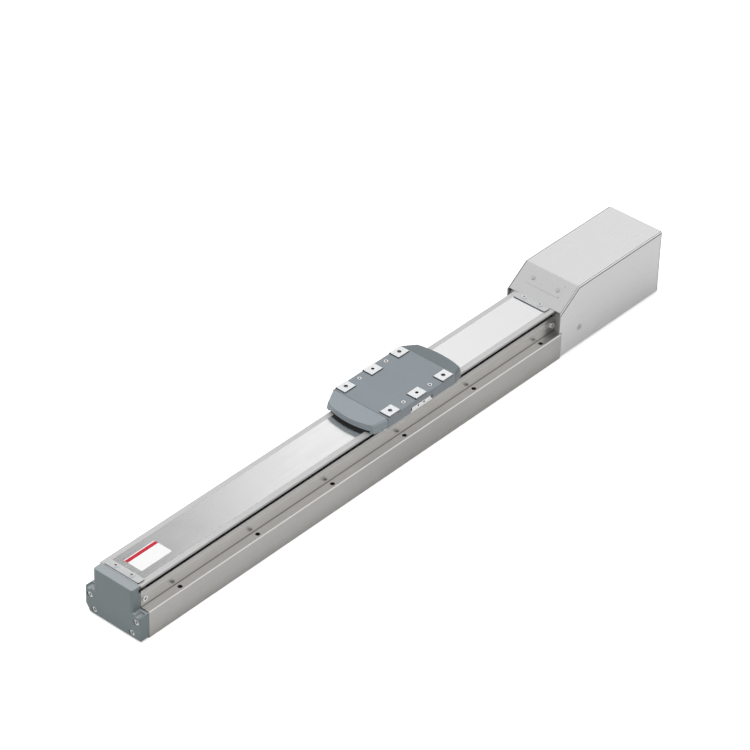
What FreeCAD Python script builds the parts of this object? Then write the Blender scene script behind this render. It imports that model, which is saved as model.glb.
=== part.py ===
"""Ball-screw linear module with a servo motor under a folded cover.

Millimetres. X runs along the rail towards the motor, Z is up, and the origin is the middle of the
footprint. Inside each piece, x is measured from the rail's front end unless its place says more.
"""
import FreeCAD, Part
import os
import re

import Sketcher

V = FreeCAD.Vector

# Edges are picked by their place, to a tolerance, and by the least length of a long one
TOUCH = 0.01
LONG = 1

SIZES = {
    # Base extrusion
    "rail_length": 684,
    "base_half_width": 40,
    "ledge_height": 34.6,
    "ledge_chamfer": 1.2,
    "wall_half_width": 28.4,
    "wall_thickness": 5.4,
    "wall_height": 55.5,
    "wall_lip": 1.2,
    "wall_lip_depth": 4.5,
    "floor_thickness": 9.5,
    "wall_groove_height": 49.5,
    "wall_groove_depth": 0.5,
    "ledge_hole_diameter": 5.5,
    "ledge_hole_inset": 5.8,
    "ledge_hole_start": 53,
    "ledge_hole_pitch": 120,
    "ledge_hole_end": 25,
    # Lid, band and the plates that clamp it
    "slot_height": 4.6,
    "lid_thickness": 3.5,
    "lid_half_width": 30,
    "lid_chamfer": 0.4,
    "lid_edge": 2.1,
    "lid_edge_width": 6,
    "band_thickness": 0.4,
    "band_half_width": 22.7,
    "clamp_thickness": 1,
    "clamp_corner": 2,
    "clamp_end_gap": 0.4,
    "front_clamp_length": 9.6,
    "front_clamp_half_width": 25,
    "rear_clamp_length": 10.3,
    "rear_clamp_half_width": 23.5,
    "clamp_screw_inset": 4.1,
    "clamp_screw_half_spacing": 11.5,
    "clamp_screw_depth": 7,
    # Blocks between the walls
    "end_block_length": 14.3,
    "end_block_side_gap": 0.2,
    "end_block_screw_inset": 5.2,
    "side_screw_height": 44.6,
    "side_screw_grip": 6,
    # End cap
    "cap_depth": 12.8,
    "cap_half_width": 28.5,
    "cap_bottom": 2,
    "cap_ear_top": 34,
    "cap_corner_width": 6,
    "cap_corner_height": 9,
    "cap_edge_radius": 1.2,
    "cap_upright_radius": 3.5,
    "cap_scoop_radius": 4.5,
    "cap_scoop_drop": 2,
    "cap_scoop_depth": 9,
    "cap_notch_depth": 3,
    "cap_notch_width": 3,
    "cap_notch_below": 1.3,
    "cap_notch_above": 0.2,
    "cap_screw_recess": 5,
    "end_screw_upper_half": 33.7,
    "end_screw_upper_height": 24.5,
    "end_screw_lower_half": 27.5,
    "end_screw_lower_height": 7.4,
    "rear_screw_lower_height": 9.8,
    "end_screw_grip": 12,
    # Screws: M4 and M3 with clearance and tapped holes
    "m4_shank": 4,
    "m4_hole": 4.4,
    "m4_head": 7,
    "m4_head_height": 4,
    "m4_recess": 8,
    "m4_socket": 3.6,
    "m4_pan_height": 2.2,
    "m4_flat_head": 7.2,
    "m4_flat_height": 1,
    "m4_flat_recess": 7.8,
    "m3_shank": 3,
    "m3_hole": 3.4,
    "m3_head": 5.4,
    "m3_head_height": 3,
    "m3_pan_height": 2,
    "m3_recess": 6,
    "m3_socket": 2.8,
    "socket_depth": 1.4,
    "thread_gap": 0.1,
    "tap_spare": 1,
    "head_sink": 0.5,
    # Guide
    "guide_half_spacing": 12.5,
    "guide_width": 9,
    "guide_height": 6.5,
    "guide_waist_depth": 1,
    "guide_end_gap": 0.5,
    "guide_screw_start": 20,
    "guide_screw_pitch": 80,
    "guide_screw_grip": 5,
    "runner_length": 30,
    "runner_half_spacing": 42,
    "runner_width": 20,
    "runner_floor_gap": 2.2,
    "runner_crown": 3.5,
    "runner_gap": 0.3,
    "runner_screw_offset": 6.9,
    "runner_screw_half_pitch": 9,
    "runner_screw_shank": 2.5,
    "runner_screw_hole": 2.8,
    "runner_screw_head": 4.5,
    "runner_screw_head_height": 2.5,
    "runner_screw_floor": 5,
    "runner_screw_grip": 2.8,
    "runner_tap_spare": 0.3,
    "runner_access": 5,
    # Saddle that carries the nut
    "carriage_place": 433.7,
    "saddle_length": 140,
    "saddle_half_width": 22.4,
    "saddle_edge": 1,
    "arm_gap": 0.8,
    "saddle_screw_pitch": 25,
    "saddle_screw_half_spacing": 18.9,
    "saddle_screw_depth": 9,
    "saddle_screw_head": 7.6,
    "saddle_screw_head_height": 2,
    # Slider block
    "block_length": 112,
    "block_half_width": 38.1,
    "block_side_depth": 10.4,
    "block_side_step": 1,
    "arm_lid_gap": 0.4,
    "arm_inner_half": 14,
    "lid_side_gap": 1.3,
    "leg_thickness": 3.1,
    "leg_chamfer_width": 3.4,
    "leg_chamfer_height": 3.9,
    "band_gap": 1,
    "table_thickness": 13.2,
    "mount_pad_length": 18.5,
    "mount_pad_width": 14.2,
    "mount_pad_half_spacing": 32.4,
    "mount_pad_pitch": 45.2,
    "mount_pad_stand": 1.3,
    "mount_pad_chamfer": 0.4,
    "mount_hole": 5,
    "mount_hole_depth": 12,
    "dowel_hole": 4,
    "dowel_hole_depth": 6,
    "window_half_length": 18.4,
    "window_height": 6.1,
    "boss_end_gap": 2.7,
    "boss_top_gap": 0.4,
    "boss_proud": 1.4,
    "side_hole": 2.5,
    "side_hole_half_pitch": 4.75,
    "side_hole_height": 2.8,
    "side_hole_depth": 8,
    # Carriage cover and its hoods
    "cover_length": 114.5,
    "cover_wall": 2,
    "cover_seat_gap": 0.1,
    "cover_side_gap": 0.3,
    "cover_skirt": 12.8,
    "cover_edge_radius": 2.5,
    "pad_window_gap": 0.3,
    "cover_screw_half_pitch": 22.4,
    "cover_screw_half_spacing": 32.2,
    "cover_screw_recess_depth": 1,
    "cover_screw_head_height": 1.2,
    "cover_screw_grip": 7,
    "hood_length": 23,
    "hood_top_drop": 5.1,
    "hood_bottom_drop": 3,
    "hood_foot_half": 33,
    "hood_brow_half": 29,
    "hood_arc_radius": 95,
    "hood_gap_half": 30,
    "hood_gap_top": 4,
    "wiper_thickness": 2.5,
    "wiper_height": 7.8,
    "wiper_gap": 0.15,
    "wiper_side_gap": 0.3,
    # Ball screw and nut
    "screw_height": 38,
    "screw_diameter": 16,
    "screw_front_journal": 10,
    "screw_front_end": 4,
    "fixed_journal": 12,
    "screw_tail": 10,
    "screw_tail_length": 12,
    "screw_clearance": 4,
    "nut_diameter": 28,
    "nut_length": 40,
    "nut_end_gap": 1,
    "nut_flange_diameter": 44,
    "nut_flange_half_flat": 15,
    "nut_flange_thickness": 8,
    "nut_recess_gap": 0.3,
    "nut_running_gap": 0.05,
    "nut_screw_half_spacing": 17.5,
    "nut_screw_half_height": 7,
    "nut_screw_grip": 9,
    "bumper_outer": 30,
    "bumper_inner": 21,
    "front_bumper_length": 7.3,
    "rear_bumper_length": 10.8,
    # Bearings
    "fit_gap": 0.05,
    "front_bearing_outer": 26,
    "front_bearing_width": 8,
    "front_bearing_race": 2.3,
    "circlip_width": 1,
    "circlip_outer": 14,
    "fixed_bearing_outer": 28,
    "fixed_bearing_width": 8,
    "fixed_bearing_race": 2.5,
    "bearing_pair_gap": 0.1,
    "bearing_seat_depth": 17,
    "retainer_diameter": 40,
    "retainer_thickness": 3,
    "retainer_screw_circle": 34,
    "retainer_screw_grip": 8,
    "lock_nut_outer": 21,
    "lock_nut_width": 8,
    # Bearing block, adapter and coupling
    "bearing_block_length": 22,
    "bearing_block_top": 61.5,
    "bay_block_side_gap": 0.3,
    "bay_block_corner": 5.5,
    "adapter_length": 40,
    "adapter_top": 70,
    "adapter_bore": 46,
    "adapter_screw_half": 33.5,
    "adapter_screw_low": 14.5,
    "adapter_screw_high": 55,
    "adapter_screw_grip": 12,
    "coupling_diameter": 30,
    "coupling_jaw_length": 9,
    "coupling_end_gap": 1.5,
    "coupling_gap": 0.3,
    "jaw_width": 4,
    "spider_bore": 15,
    # Servo motor
    "motor_half_width": 30,
    "motor_flange_thickness": 6,
    "motor_pilot": 50,
    "motor_pilot_depth": 3,
    "motor_shaft_diameter": 14,
    "motor_shaft_length": 14,
    "motor_body_length": 78,
    "motor_edge": 4,
    "motor_screw_half": 24.75,
    "motor_screw_notch": 10,
    "motor_screw_notch_length": 14,
    "motor_screw_grip": 8,
    "encoder_length": 20,
    "encoder_half_width": 28,
    "connector_length": 22,
    "connector_half_width": 9,
    "connector_height": 9,
    "connector_inset": 8,
    "connector_edge": 1.5,
    # Motor cover and what is fixed to it
    "bay_length": 187,
    "bay_side_lap": 0.1,
    "bay_bottom": 2.9,
    "bay_top": 86.5,
    "bay_wall": 1.5,
    "bay_bend": 2,
    "bay_corner": 4,
    "bay_front_lap": 3.8,
    "bay_step_height": 37,
    "bay_step_gap": 0.3,
    "slope_start_lap": 2.9,
    "slope_run": 31.9,
    "slope_rise": 22.9,
    "lid_rest_gap": 0.3,
    "side_fix_place": 34,
    "side_fix_height": 27.2,
    "side_fix_recess": 0.7,
    "side_fix_grip": 8,
    "bottom_plate_gap": 0.3,
    "bottom_screw_half": 33.5,
    "bottom_screw_front": 6,
    "bottom_screw_pitch": 36,
    "bottom_screw_grip": 6,
    "bottom_screw_head_height": 1.5,
    "plate_start": 15.2,
    "plate_length": 17.4,
    "plate_half_width": 24,
    "plate_thickness": 0.8,
    "plate_corner": 2,
    "plate_lap": 3,
    "plate_end_lap": 9,
    "plate_screw_half_spacing": 18.3,
    "plate_screw_head_height": 1.3,
    "plate_screw_grip": 3,
    "grommet_height": 16,
    "grommet_half_width": 12,
    "grommet_half_height": 6,
    "grommet_wall": 2,
    "grommet_flange": 1.6,
    "grommet_lip": 1,
    # How far a cut runs past the piece that it goes through
    "overcut": 1,
}

# Places that follow from the sizes
PLACES = {
    "middle": "(rail_length + bay_length + grommet_lip - cap_depth) / 2",
    "m3_tap": "m3_shank + 2 * thread_gap",
    "m4_tap": "m4_shank + 2 * thread_gap",
    "wall_inner": "wall_half_width - wall_thickness",
    "ledge_hole_half": "base_half_width - ledge_hole_inset",
    "lid_bottom": "wall_height + slot_height",
    "lid_top": "lid_bottom + lid_thickness",
    "band_top": "lid_top + band_thickness",
    "clamp_top": "band_top + clamp_thickness",
    "block_half": "wall_inner - end_block_side_gap",
    "rear_block_start": "rail_length - end_block_length",
    "lid_end": "rail_length - slope_start_lap - lid_rest_gap",
    "guide_top": "floor_thickness + guide_height",
    "guide_third": "guide_height / 3",
    "guide_length": "rail_length - 2 * end_block_length - 2 * guide_end_gap",
    "runner_bottom": "floor_thickness + runner_floor_gap",
    "runner_top": "guide_top + runner_crown",
    "runner_floor": "runner_top + runner_screw_floor",
    "saddle_top": "wall_height + arm_gap",
    "nut_seat": "saddle_length / 2 - nut_flange_thickness - m3_head_height - head_sink",
    "arm_top": "lid_bottom - arm_lid_gap",
    "tunnel_half": "lid_half_width + lid_side_gap",
    "leg_half": "tunnel_half + leg_thickness",
    "table_bottom": "band_top + band_gap",
    "table_top": "table_bottom + table_thickness",
    "cover_inner_top": "table_top + cover_seat_gap",
    "cover_top": "cover_inner_top + cover_wall",
    "cover_bottom": "cover_top - cover_skirt",
    "cover_inner_half": "block_half_width + cover_side_gap",
    "cover_half": "cover_inner_half + cover_wall",
    "mount_pad_top": "cover_top + mount_pad_stand",
    "boss_half": "block_half_width + boss_proud",
    "boss_half_length": "window_half_length - boss_end_gap",
    "seam": "cover_length / 2",
    "hood_end": "seam + hood_length",
    "bearing_front": "rail_length + bearing_block_length - bearing_seat_depth",
    "bearing_rear": "bearing_front + 2 * fixed_bearing_width + bearing_pair_gap",
    "retainer_screw_half": "retainer_screw_circle / 2 * sqrt(0.5)",
    "adapter_front": "rail_length + bearing_block_length",
    "motor_face": "adapter_front + adapter_length",
    "lock_nut_end": "bearing_rear + lock_nut_width",
    "hub_start": "lock_nut_end + coupling_end_gap",
    "hub_room": "motor_face - motor_pilot_depth - coupling_end_gap - hub_start",
    "hub_length": "(hub_room - coupling_jaw_length) / 2",
    "jaw_start": "hub_start + hub_length",
    "jaw_end": "jaw_start + coupling_jaw_length",
    "bay_rear": "rail_length + bay_length",
    "bay_half_width": "base_half_width + bay_side_lap",
    "bay_inner_half": "bay_half_width - bay_wall",
    "bay_block_half_width": "bay_inner_half - bay_block_side_gap",
    "bay_inner_top": "bay_top - bay_wall",
    "bay_inner_corner": "bay_corner - bay_wall",
    "bay_front": "rail_length - bay_front_lap",
    "slope_foot": "rail_length - slope_start_lap",
    "slope_length": "sqrt(slope_run * slope_run + slope_rise * slope_rise)",
    "slope_drop": "bay_wall * slope_length / slope_run",
    "slope_foot_height": "bay_top - slope_rise",
    "bay_plate_top": "bay_bottom + bay_wall",
    "bay_floor_end": "bay_rear - bay_wall - bottom_plate_gap",
}

doc = FreeCAD.newDocument("linear_module")
sheet = doc.addObject("Spreadsheet::Sheet", "sizes")
for row, (name, number) in enumerate(SIZES.items(), 1):
    sheet.set("A%d" % row, name)
    sheet.set("B%d" % row, str(number))
    sheet.setAlias("B%d" % row, name)
doc.recompute()

pieces = []


def bound(text):
    """Give an expression in plain size names the form that the document reads."""
    def swap(match):
        word = match.group(0)
        if word in SIZES:
            return "sizes." + word
        if word in PLACES:
            return "(" + bound(PLACES[word]) + ")"
        return word
    return re.sub(r"[A-Za-z_]\w*", swap, str(text))


def value(text):
    """Work out an expression now, in millimetres."""
    return float(sheet.evalExpression(bound(text)))


def set_place(thing, x="0", y="0", z="0"):
    """Bind a piece's place: x from the rail's front end, y and z in the row's frame."""
    thing.setExpression("Placement.Base.x", bound("%s - middle" % x))
    thing.setExpression("Placement.Base.y", bound(y))
    thing.setExpression("Placement.Base.z", bound(z))


def new_body(label, x="0", y="0", z="0"):
    """Start a piece that is handed in."""
    body = doc.addObject("PartDesign::Body", label)
    body.Label = label
    set_place(body, x, y, z)
    pieces.append(body)
    return body


def helper_body(label):
    """Start a body that another piece is made from."""
    body = doc.addObject("PartDesign::Body", label)
    body.Label = label
    return body


def new_sketch(body, plane, offset="0"):
    """Open a sketch on an origin plane, moved along the plane's normal."""
    planes = {feature.Role: feature for feature in body.Origin.OriginFeatures}
    sketch = body.newObject("Sketcher::SketchObject", body.Name + "_sketch")
    sketch.AttachmentSupport = [(planes[plane + "_Plane"], "")]
    sketch.MapMode = "FlatFace"
    if str(offset) != "0":
        sketch.setExpression("AttachmentOffset.Base.z", bound(offset))
    return sketch


def fix_point(sketch, item, position, x, y):
    """Tie a point of the sketch to its two coordinates."""
    for kind, axis, text in (("DistanceX", -2, x), ("DistanceY", -1, y)):
        if str(text) == "0":
            sketch.addConstraint(Sketcher.Constraint("PointOnObject", item, position, axis))
            continue
        rule = sketch.addConstraint(Sketcher.Constraint(kind, -1, 1, item, position, value(text)))
        sketch.setExpression("Constraints[%d]" % rule, bound(text))


def polygon(sketch, corners):
    """Draw a closed outline through corners given as expressions."""
    first = sketch.GeometryCount
    count = len(corners)
    points = [V(value(x), value(y), 0) for x, y in corners]
    for index in range(count):
        sketch.addGeometry(Part.LineSegment(points[index], points[(index + 1) % count]), False)
    for index in range(count):
        following = first + (index + 1) % count
        sketch.addConstraint(Sketcher.Constraint("Coincident", first + index, 2, following, 1))
    for index, (x, y) in enumerate(corners):
        fix_point(sketch, first + index, 1, x, y)


def rectangle(sketch, left, right, low, high):
    """Draw a rectangle between four expressions."""
    polygon(sketch, [(left, low), (right, low), (right, high), (left, high)])


def circle(sketch, x, y, diameter):
    """Draw a circle bound at its centre and diameter."""
    item = sketch.addGeometry(Part.Circle(V(value(x), value(y), 0), V(0, 0, 1), value(diameter) / 2), False)
    fix_point(sketch, item, 3, x, y)
    rule = sketch.addConstraint(Sketcher.Constraint("Diameter", item, value(diameter)))
    sketch.setExpression("Constraints[%d]" % rule, bound(diameter))


def extrude(body, kind, sketch, length, toward):
    """Pad or pocket a sketch along its normal (+), against it (-) or both ways (=)."""
    feature = body.newObject("PartDesign::" + kind, body.Name + "_" + kind.lower())
    feature.Profile = sketch
    feature.setExpression("Length", bound(length))
    if toward == "=":
        feature.SideType = "Symmetric"
    else:
        feature.Reversed = toward == ("-" if kind == "Pad" else "+")
    sketch.Visibility = False


def pad(body, sketch, length, toward="+"):
    """Add material."""
    extrude(body, "Pad", sketch, length, toward)


def pocket(body, sketch, length, toward="-"):
    """Take material away."""
    extrude(body, "Pocket", sketch, length, toward)


def edges_where(shape, test):
    """Name the edges whose middle and box pass a test."""
    return ["Edge%d" % number for number, edge in enumerate(shape.Edges, 1)
            if test(edge.CenterOfMass, edge.BoundBox)]


def soften(body, kind, size, test):
    """Fillet or chamfer the edges of the body's last feature that pass a test."""
    doc.recompute()
    base = body.Tip
    feature = body.newObject("PartDesign::" + kind, body.Name + "_" + kind.lower())
    feature.Base = (base, edges_where(base.Shape, test))
    feature.setExpression("Radius" if kind == "Fillet" else "Size", bound(size))


def bore_row(body, plane, offset, places, diameter, depth, toward="-"):
    """Pocket a group of equal round holes."""
    sketch = new_sketch(body, plane, offset)
    for x, y in places:
        circle(sketch, x, y, diameter)
    pocket(body, sketch, depth, toward)


def peg_row(body, plane, offset, places, diameter, length, toward="+"):
    """Pad a group of equal round pegs."""
    sketch = new_sketch(body, plane, offset)
    for x, y in places:
        circle(sketch, x, y, diameter)
    pad(body, sketch, length, toward)


def hexagon_row(body, plane, offset, places, width, depth, toward):
    """Pocket a hexagon socket in each head."""
    sketch = new_sketch(body, plane, offset)
    side = "%s / sqrt(3)" % width
    for x, y in places:
        half = "%s / 2" % width
        polygon(sketch, [
            ("%s + %s" % (x, side), y),
            ("%s + %s / 2" % (x, side), "%s + %s" % (y, half)),
            ("%s - %s / 2" % (x, side), "%s + %s" % (y, half)),
            ("%s - %s" % (x, side), y),
            ("%s - %s / 2" % (x, side), "%s - %s" % (y, half)),
            ("%s + %s / 2" % (x, side), "%s - %s" % (y, half)),
        ])
    pocket(body, sketch, depth, toward)


def both_sides(x, y):
    """Give the places at plus and minus y."""
    return [(x, "-(%s)" % y), (x, y)]


def four_places(x, y):
    """Give the four places at plus and minus x and y."""
    return [(sx % x, sy % y) for sx in ("-(%s)", "%s") for sy in ("-(%s)", "%s")]


def mirrored(half):
    """Complete an outline from its right half, listed from the bottom up."""
    return half + [("-(%s)" % x, y) for x, y in reversed(half)]


def screws(label, plane, seat, places, head, head_height, shank, grip, out, socket=None, **place):
    """Make a group of equal screws: seat is the plane under the heads, out the side they look to."""
    body = new_body(label, **place)
    back = "-" if out == "+" else "+"
    peg_row(body, plane, seat, places, head, head_height, out)
    peg_row(body, plane, seat, places, shank, grip, back)
    if socket:
        top = "%s %s %s" % (seat, out, head_height)
        hexagon_row(body, plane, top, places, socket, "socket_depth", back)


def ring(label, start, width, outer, inner, places=("0",), **place):
    """Make one or more flat rings round the screw's axis."""
    body = new_body(label, **place)
    for step in places:
        sketch = new_sketch(body, "YZ", "%s + %s" % (start, step))
        circle(sketch, "0", "0", outer)
        circle(sketch, "0", "0", inner)
        pad(body, sketch, width)


def whole_count(length, start, end, pitch):
    """Count how many holes of a pitch fit in a length."""
    return "floor((%s - %s - %s) / %s) + 1" % (length, start, end, pitch)


def repeat(body, pitch, count):
    """Repeat the body's last feature along X."""
    doc.recompute()
    axes = {feature.Role: feature for feature in body.Origin.OriginFeatures}
    pattern = body.newObject("PartDesign::LinearPattern", body.Name + "_row")
    pattern.Originals = [body.Tip]
    pattern.Direction = (axes["X_Axis"], [""])
    pattern.setExpression("Occurrences", bound(count))
    pattern.setExpression("Length", bound("(%s - 1) * %s" % (count, pitch)))
    body.Tip = pattern


# Fixed pieces of the rail

def end_screw_places(lower_height):
    """Places of the four screws in one end of the base."""
    rows = (("end_screw_upper_half", "end_screw_upper_height"), ("end_screw_lower_half", lower_height))
    return [(side + half, height) for side in ("-", "") for half, height in rows]


def make_base():
    """Extruded base: floor, two walls with a groove and a thin lip, and a ledge with bolt holes each side."""
    body = new_body("base_profile")
    sketch = new_sketch(body, "YZ")
    polygon(sketch, mirrored([
        ("base_half_width", "0"),
        ("base_half_width", "ledge_height - ledge_chamfer"),
        ("base_half_width - ledge_chamfer", "ledge_height"),
        ("wall_half_width", "ledge_height"),
        ("wall_half_width", "wall_groove_height - wall_groove_depth"),
        ("wall_half_width - wall_groove_depth", "wall_groove_height"),
        ("wall_half_width", "wall_groove_height + wall_groove_depth"),
        ("wall_half_width", "wall_height"),
        ("wall_half_width - wall_lip", "wall_height"),
        ("wall_half_width - wall_lip", "wall_height - wall_lip_depth"),
        ("wall_inner", "wall_height - wall_lip_depth"),
        ("wall_inner", "floor_thickness"),
    ]))
    pad(body, sketch, "rail_length")
    bore_row(body, "XY", "ledge_height", both_sides("ledge_hole_start", "ledge_hole_half"),
             "ledge_hole_diameter", "ledge_height")
    repeat(body, "ledge_hole_pitch", whole_count("rail_length", "ledge_hole_start", "ledge_hole_end",
                                                 "ledge_hole_pitch"))
    holes = both_sides("end_block_length + guide_end_gap + guide_screw_start", "guide_half_spacing")
    bore_row(body, "XY", "floor_thickness", holes, "m3_tap", "guide_screw_grip + tap_spare")
    repeat(body, "guide_screw_pitch", whole_count("guide_length", "guide_screw_start", "guide_screw_start",
                                                  "guide_screw_pitch"))
    for place in ("end_block_screw_inset", "rail_length - end_block_screw_inset"):
        bore_row(body, "XZ", "0", [(place, "side_screw_height")], "m4_hole",
                 "2 * (wall_half_width + overcut)", "=")
    bore_row(body, "YZ", "0", end_screw_places("end_screw_lower_height"), "m4_tap",
             "end_screw_grip + tap_spare", "+")
    bore_row(body, "YZ", "rail_length", end_screw_places("rear_screw_lower_height"), "m4_tap",
             "end_screw_grip + tap_spare")


def clamp_screw_places():
    """Places of the four screws that hold the band's clamp plates."""
    front = "clamp_end_gap + clamp_screw_inset"
    rear = "lid_end - clamp_screw_inset"
    return both_sides(front, "clamp_screw_half_spacing") + both_sides(rear, "clamp_screw_half_spacing")


def make_lid_and_band():
    """Lid with thin edges on the end blocks, the stainless band on it, and a plate that clamps each end."""
    lid = new_body("top_cover")
    sketch = new_sketch(lid, "YZ")
    polygon(sketch, mirrored([
        ("lid_half_width - lid_edge_width", "lid_bottom"),
        ("lid_half_width - lid_edge_width", "lid_top - lid_edge"),
        ("lid_half_width", "lid_top - lid_edge"),
        ("lid_half_width", "lid_top - lid_chamfer"),
        ("lid_half_width - lid_chamfer", "lid_top"),
    ]))
    pad(lid, sketch, "rail_length")
    bore_row(lid, "XY", "lid_top", clamp_screw_places(), "m3_hole", "lid_thickness")

    band = new_body("steel_band")
    sketch = new_sketch(band, "XY", "lid_top")
    rectangle(sketch, "clamp_end_gap", "lid_end", "-band_half_width", "band_half_width")
    pad(band, sketch, "band_thickness")
    bore_row(band, "XY", "band_top", clamp_screw_places(), "m3_hole", "band_thickness")

    ends = (
        ("front_band_clamp", "clamp_end_gap", "clamp_end_gap + front_clamp_length", "front_clamp_half_width",
         clamp_screw_places()[:2]),
        ("rear_band_clamp", "lid_end - rear_clamp_length", "lid_end", "rear_clamp_half_width",
         clamp_screw_places()[2:]),
    )
    for label, start, end, half, holes in ends:
        plate = new_body(label)
        sketch = new_sketch(plate, "XY", "band_top")
        rectangle(sketch, start, end, "-" + half, half)
        pad(plate, sketch, "clamp_thickness")
        soften(plate, "Fillet", "clamp_corner", lambda middle, box: box.ZLength > TOUCH)
        bore_row(plate, "XY", "clamp_top", holes, "m3_hole", "clamp_thickness")

    grip = "clamp_thickness + band_thickness + lid_thickness + clamp_screw_depth"
    screws("band_clamp_screws", "XY", "clamp_top", clamp_screw_places(), "m3_head", "m3_pan_height",
           "m3_shank", grip, "+", "m3_socket")


def make_end_cap():
    """Cast cap: upper block, an ear each side, counterbored screws and a notch behind each slot."""
    body = new_body("end_cap")
    sketch = new_sketch(body, "YZ")
    polygon(sketch, [
        ("-base_half_width", "cap_bottom"),
        ("base_half_width - cap_corner_width", "cap_bottom"),
        ("base_half_width", "cap_bottom + cap_corner_height"),
        ("base_half_width", "cap_ear_top"),
        ("cap_half_width", "cap_ear_top"),
        ("cap_half_width", "lid_top"),
        ("-cap_half_width", "lid_top"),
        ("-cap_half_width", "cap_ear_top"),
        ("-base_half_width", "cap_ear_top"),
    ])
    pad(body, sketch, "cap_depth", "-")
    front = -value("cap_depth")
    half = value("cap_half_width")
    shelf = value("cap_ear_top") - TOUCH

    def upright(middle, box):
        return box.XMax < front + TOUCH and box.YLength < TOUCH and box.ZMin > shelf

    soften(body, "Fillet", "cap_upright_radius", upright)
    soften(body, "Fillet", "cap_edge_radius",
           lambda middle, box: box.XMax < front + TOUCH and not upright(middle, box))
    scoops = [("%s(base_half_width - cap_scoop_radius)" % side,
               "cap_ear_top + cap_scoop_radius - cap_scoop_drop") for side in ("-", "")]
    bore_row(body, "YZ", "-cap_depth", scoops, "2 * cap_scoop_radius", "cap_scoop_depth", "+")
    for side in ("-", ""):
        sketch = new_sketch(body, "YZ")
        outer = "%s(cap_half_width + overcut)" % side
        inner = "%s(cap_half_width - cap_notch_width)" % side
        rectangle(sketch, inner, outer, "wall_height - cap_notch_below",
                  "lid_bottom + cap_notch_above")
        pocket(body, sketch, "cap_notch_depth")
    places = end_screw_places("end_screw_lower_height")
    bore_row(body, "YZ", "-cap_depth", places, "m4_recess", "cap_screw_recess", "+")
    bore_row(body, "YZ", "-cap_depth + cap_screw_recess", places, "m4_hole", "cap_depth", "+")
    screws("end_cap_screws", "YZ", "-cap_depth + cap_screw_recess", places, "m4_head", "m4_head_height",
           "m4_shank", "cap_depth - cap_screw_recess + end_screw_grip", "-", "m4_socket")


def make_end_blocks():
    """Front bearing block and rear support block, held by screws through the walls."""
    places = (
        ("front_bearing_block", "0", clamp_screw_places()[:2], "end_block_screw_inset"),
        ("rear_support_block", "rear_block_start", clamp_screw_places()[2:],
         "rail_length - end_block_screw_inset"),
    )
    for label, start, taps, side_place in places:
        body = new_body(label)
        sketch = new_sketch(body, "YZ", start)
        rectangle(sketch, "-(block_half)", "block_half", "floor_thickness", "lid_bottom")
        pad(body, sketch, "end_block_length")
        bore_row(body, "YZ", start, [("0", "screw_height")], "screw_diameter + screw_clearance",
                 "end_block_length", "+")
        if label == "front_bearing_block":
            bore_row(body, "YZ", "end_block_length", [("0", "screw_height")],
                     "front_bearing_outer + 2 * fit_gap", "front_bearing_width")
        bore_row(body, "XY", "lid_bottom", taps, "m3_tap", "clamp_screw_depth + tap_spare")
        for side in ("-", "+"):
            offset = "%s(block_half)" % ("" if side == "-" else "-")
            bore_row(body, "XZ", offset, [(side_place, "side_screw_height")], "m4_tap",
                     "side_screw_grip + tap_spare", side)

    body = new_body("side_wall_screws")
    reach = "wall_thickness + end_block_side_gap + side_screw_grip"
    rows = [("end_block_screw_inset", "side_screw_height"),
            ("rail_length - end_block_screw_inset", "side_screw_height")]
    for sign, out, back in (("-", "-", "+"), ("", "+", "-")):
        seat = "%swall_half_width" % sign
        peg_row(body, "XZ", seat, rows, "m4_head", "m4_pan_height", out)
        peg_row(body, "XZ", seat, rows, "m4_shank", reach, back)
        hexagon_row(body, "XZ", "%s(wall_half_width + m4_pan_height)" % sign, rows, "m4_socket",
                    "socket_depth", back)


def make_guide():
    """Two guide rails on the floor, with a row of sunk screws in each."""
    start = "end_block_length + guide_end_gap"
    count = whole_count("guide_length", "guide_screw_start", "guide_screw_start", "guide_screw_pitch")
    for label, side in (("right_guide_rail", "-"), ("left_guide_rail", "")):
        body = new_body(label, x=start, y="%sguide_half_spacing" % side, z="floor_thickness")
        sketch = new_sketch(body, "YZ")
        polygon(sketch, mirrored([
            ("guide_width / 2", "0"),
            ("guide_width / 2", "guide_third"),
            ("guide_width / 2 - guide_waist_depth", "guide_height / 2"),
            ("guide_width / 2", "guide_height - guide_third"),
            ("guide_width / 2", "guide_height"),
        ]))
        pad(body, sketch, "guide_length")
        bore_row(body, "XY", "guide_height", [("guide_screw_start", "0")], "m3_hole", "guide_height")
        repeat(body, "guide_screw_pitch", count)
        bore_row(body, "XY", "guide_height", [("guide_screw_start", "0")], "m3_recess",
                 "m3_head_height + head_sink")
        repeat(body, "guide_screw_pitch", count)

    heads = both_sides("guide_screw_start", "guide_half_spacing")
    seat = "guide_height - m3_head_height - head_sink"
    body = new_body("guide_rail_screws", x=start, z="floor_thickness")
    sketch = new_sketch(body, "XY", seat)
    for x, y in heads:
        circle(sketch, x, y, "m3_head")
    pad(body, sketch, "m3_head_height")
    repeat(body, "guide_screw_pitch", count)
    sketch = new_sketch(body, "XY", seat)
    for x, y in heads:
        circle(sketch, x, y, "m3_shank")
    pad(body, sketch, "%s + guide_screw_grip" % seat, "-")
    repeat(body, "guide_screw_pitch", count)


def make_bumpers():
    """Rubber rings that stop the carriage at each end."""
    ring("front_bumper", "end_block_length", "front_bumper_length", "bumper_outer", "bumper_inner",
         z="screw_height")
    ring("rear_bumper", "rear_block_start - rear_bumper_length", "rear_bumper_length", "bumper_outer",
         "bumper_inner", z="screw_height")


# Motor end

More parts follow.
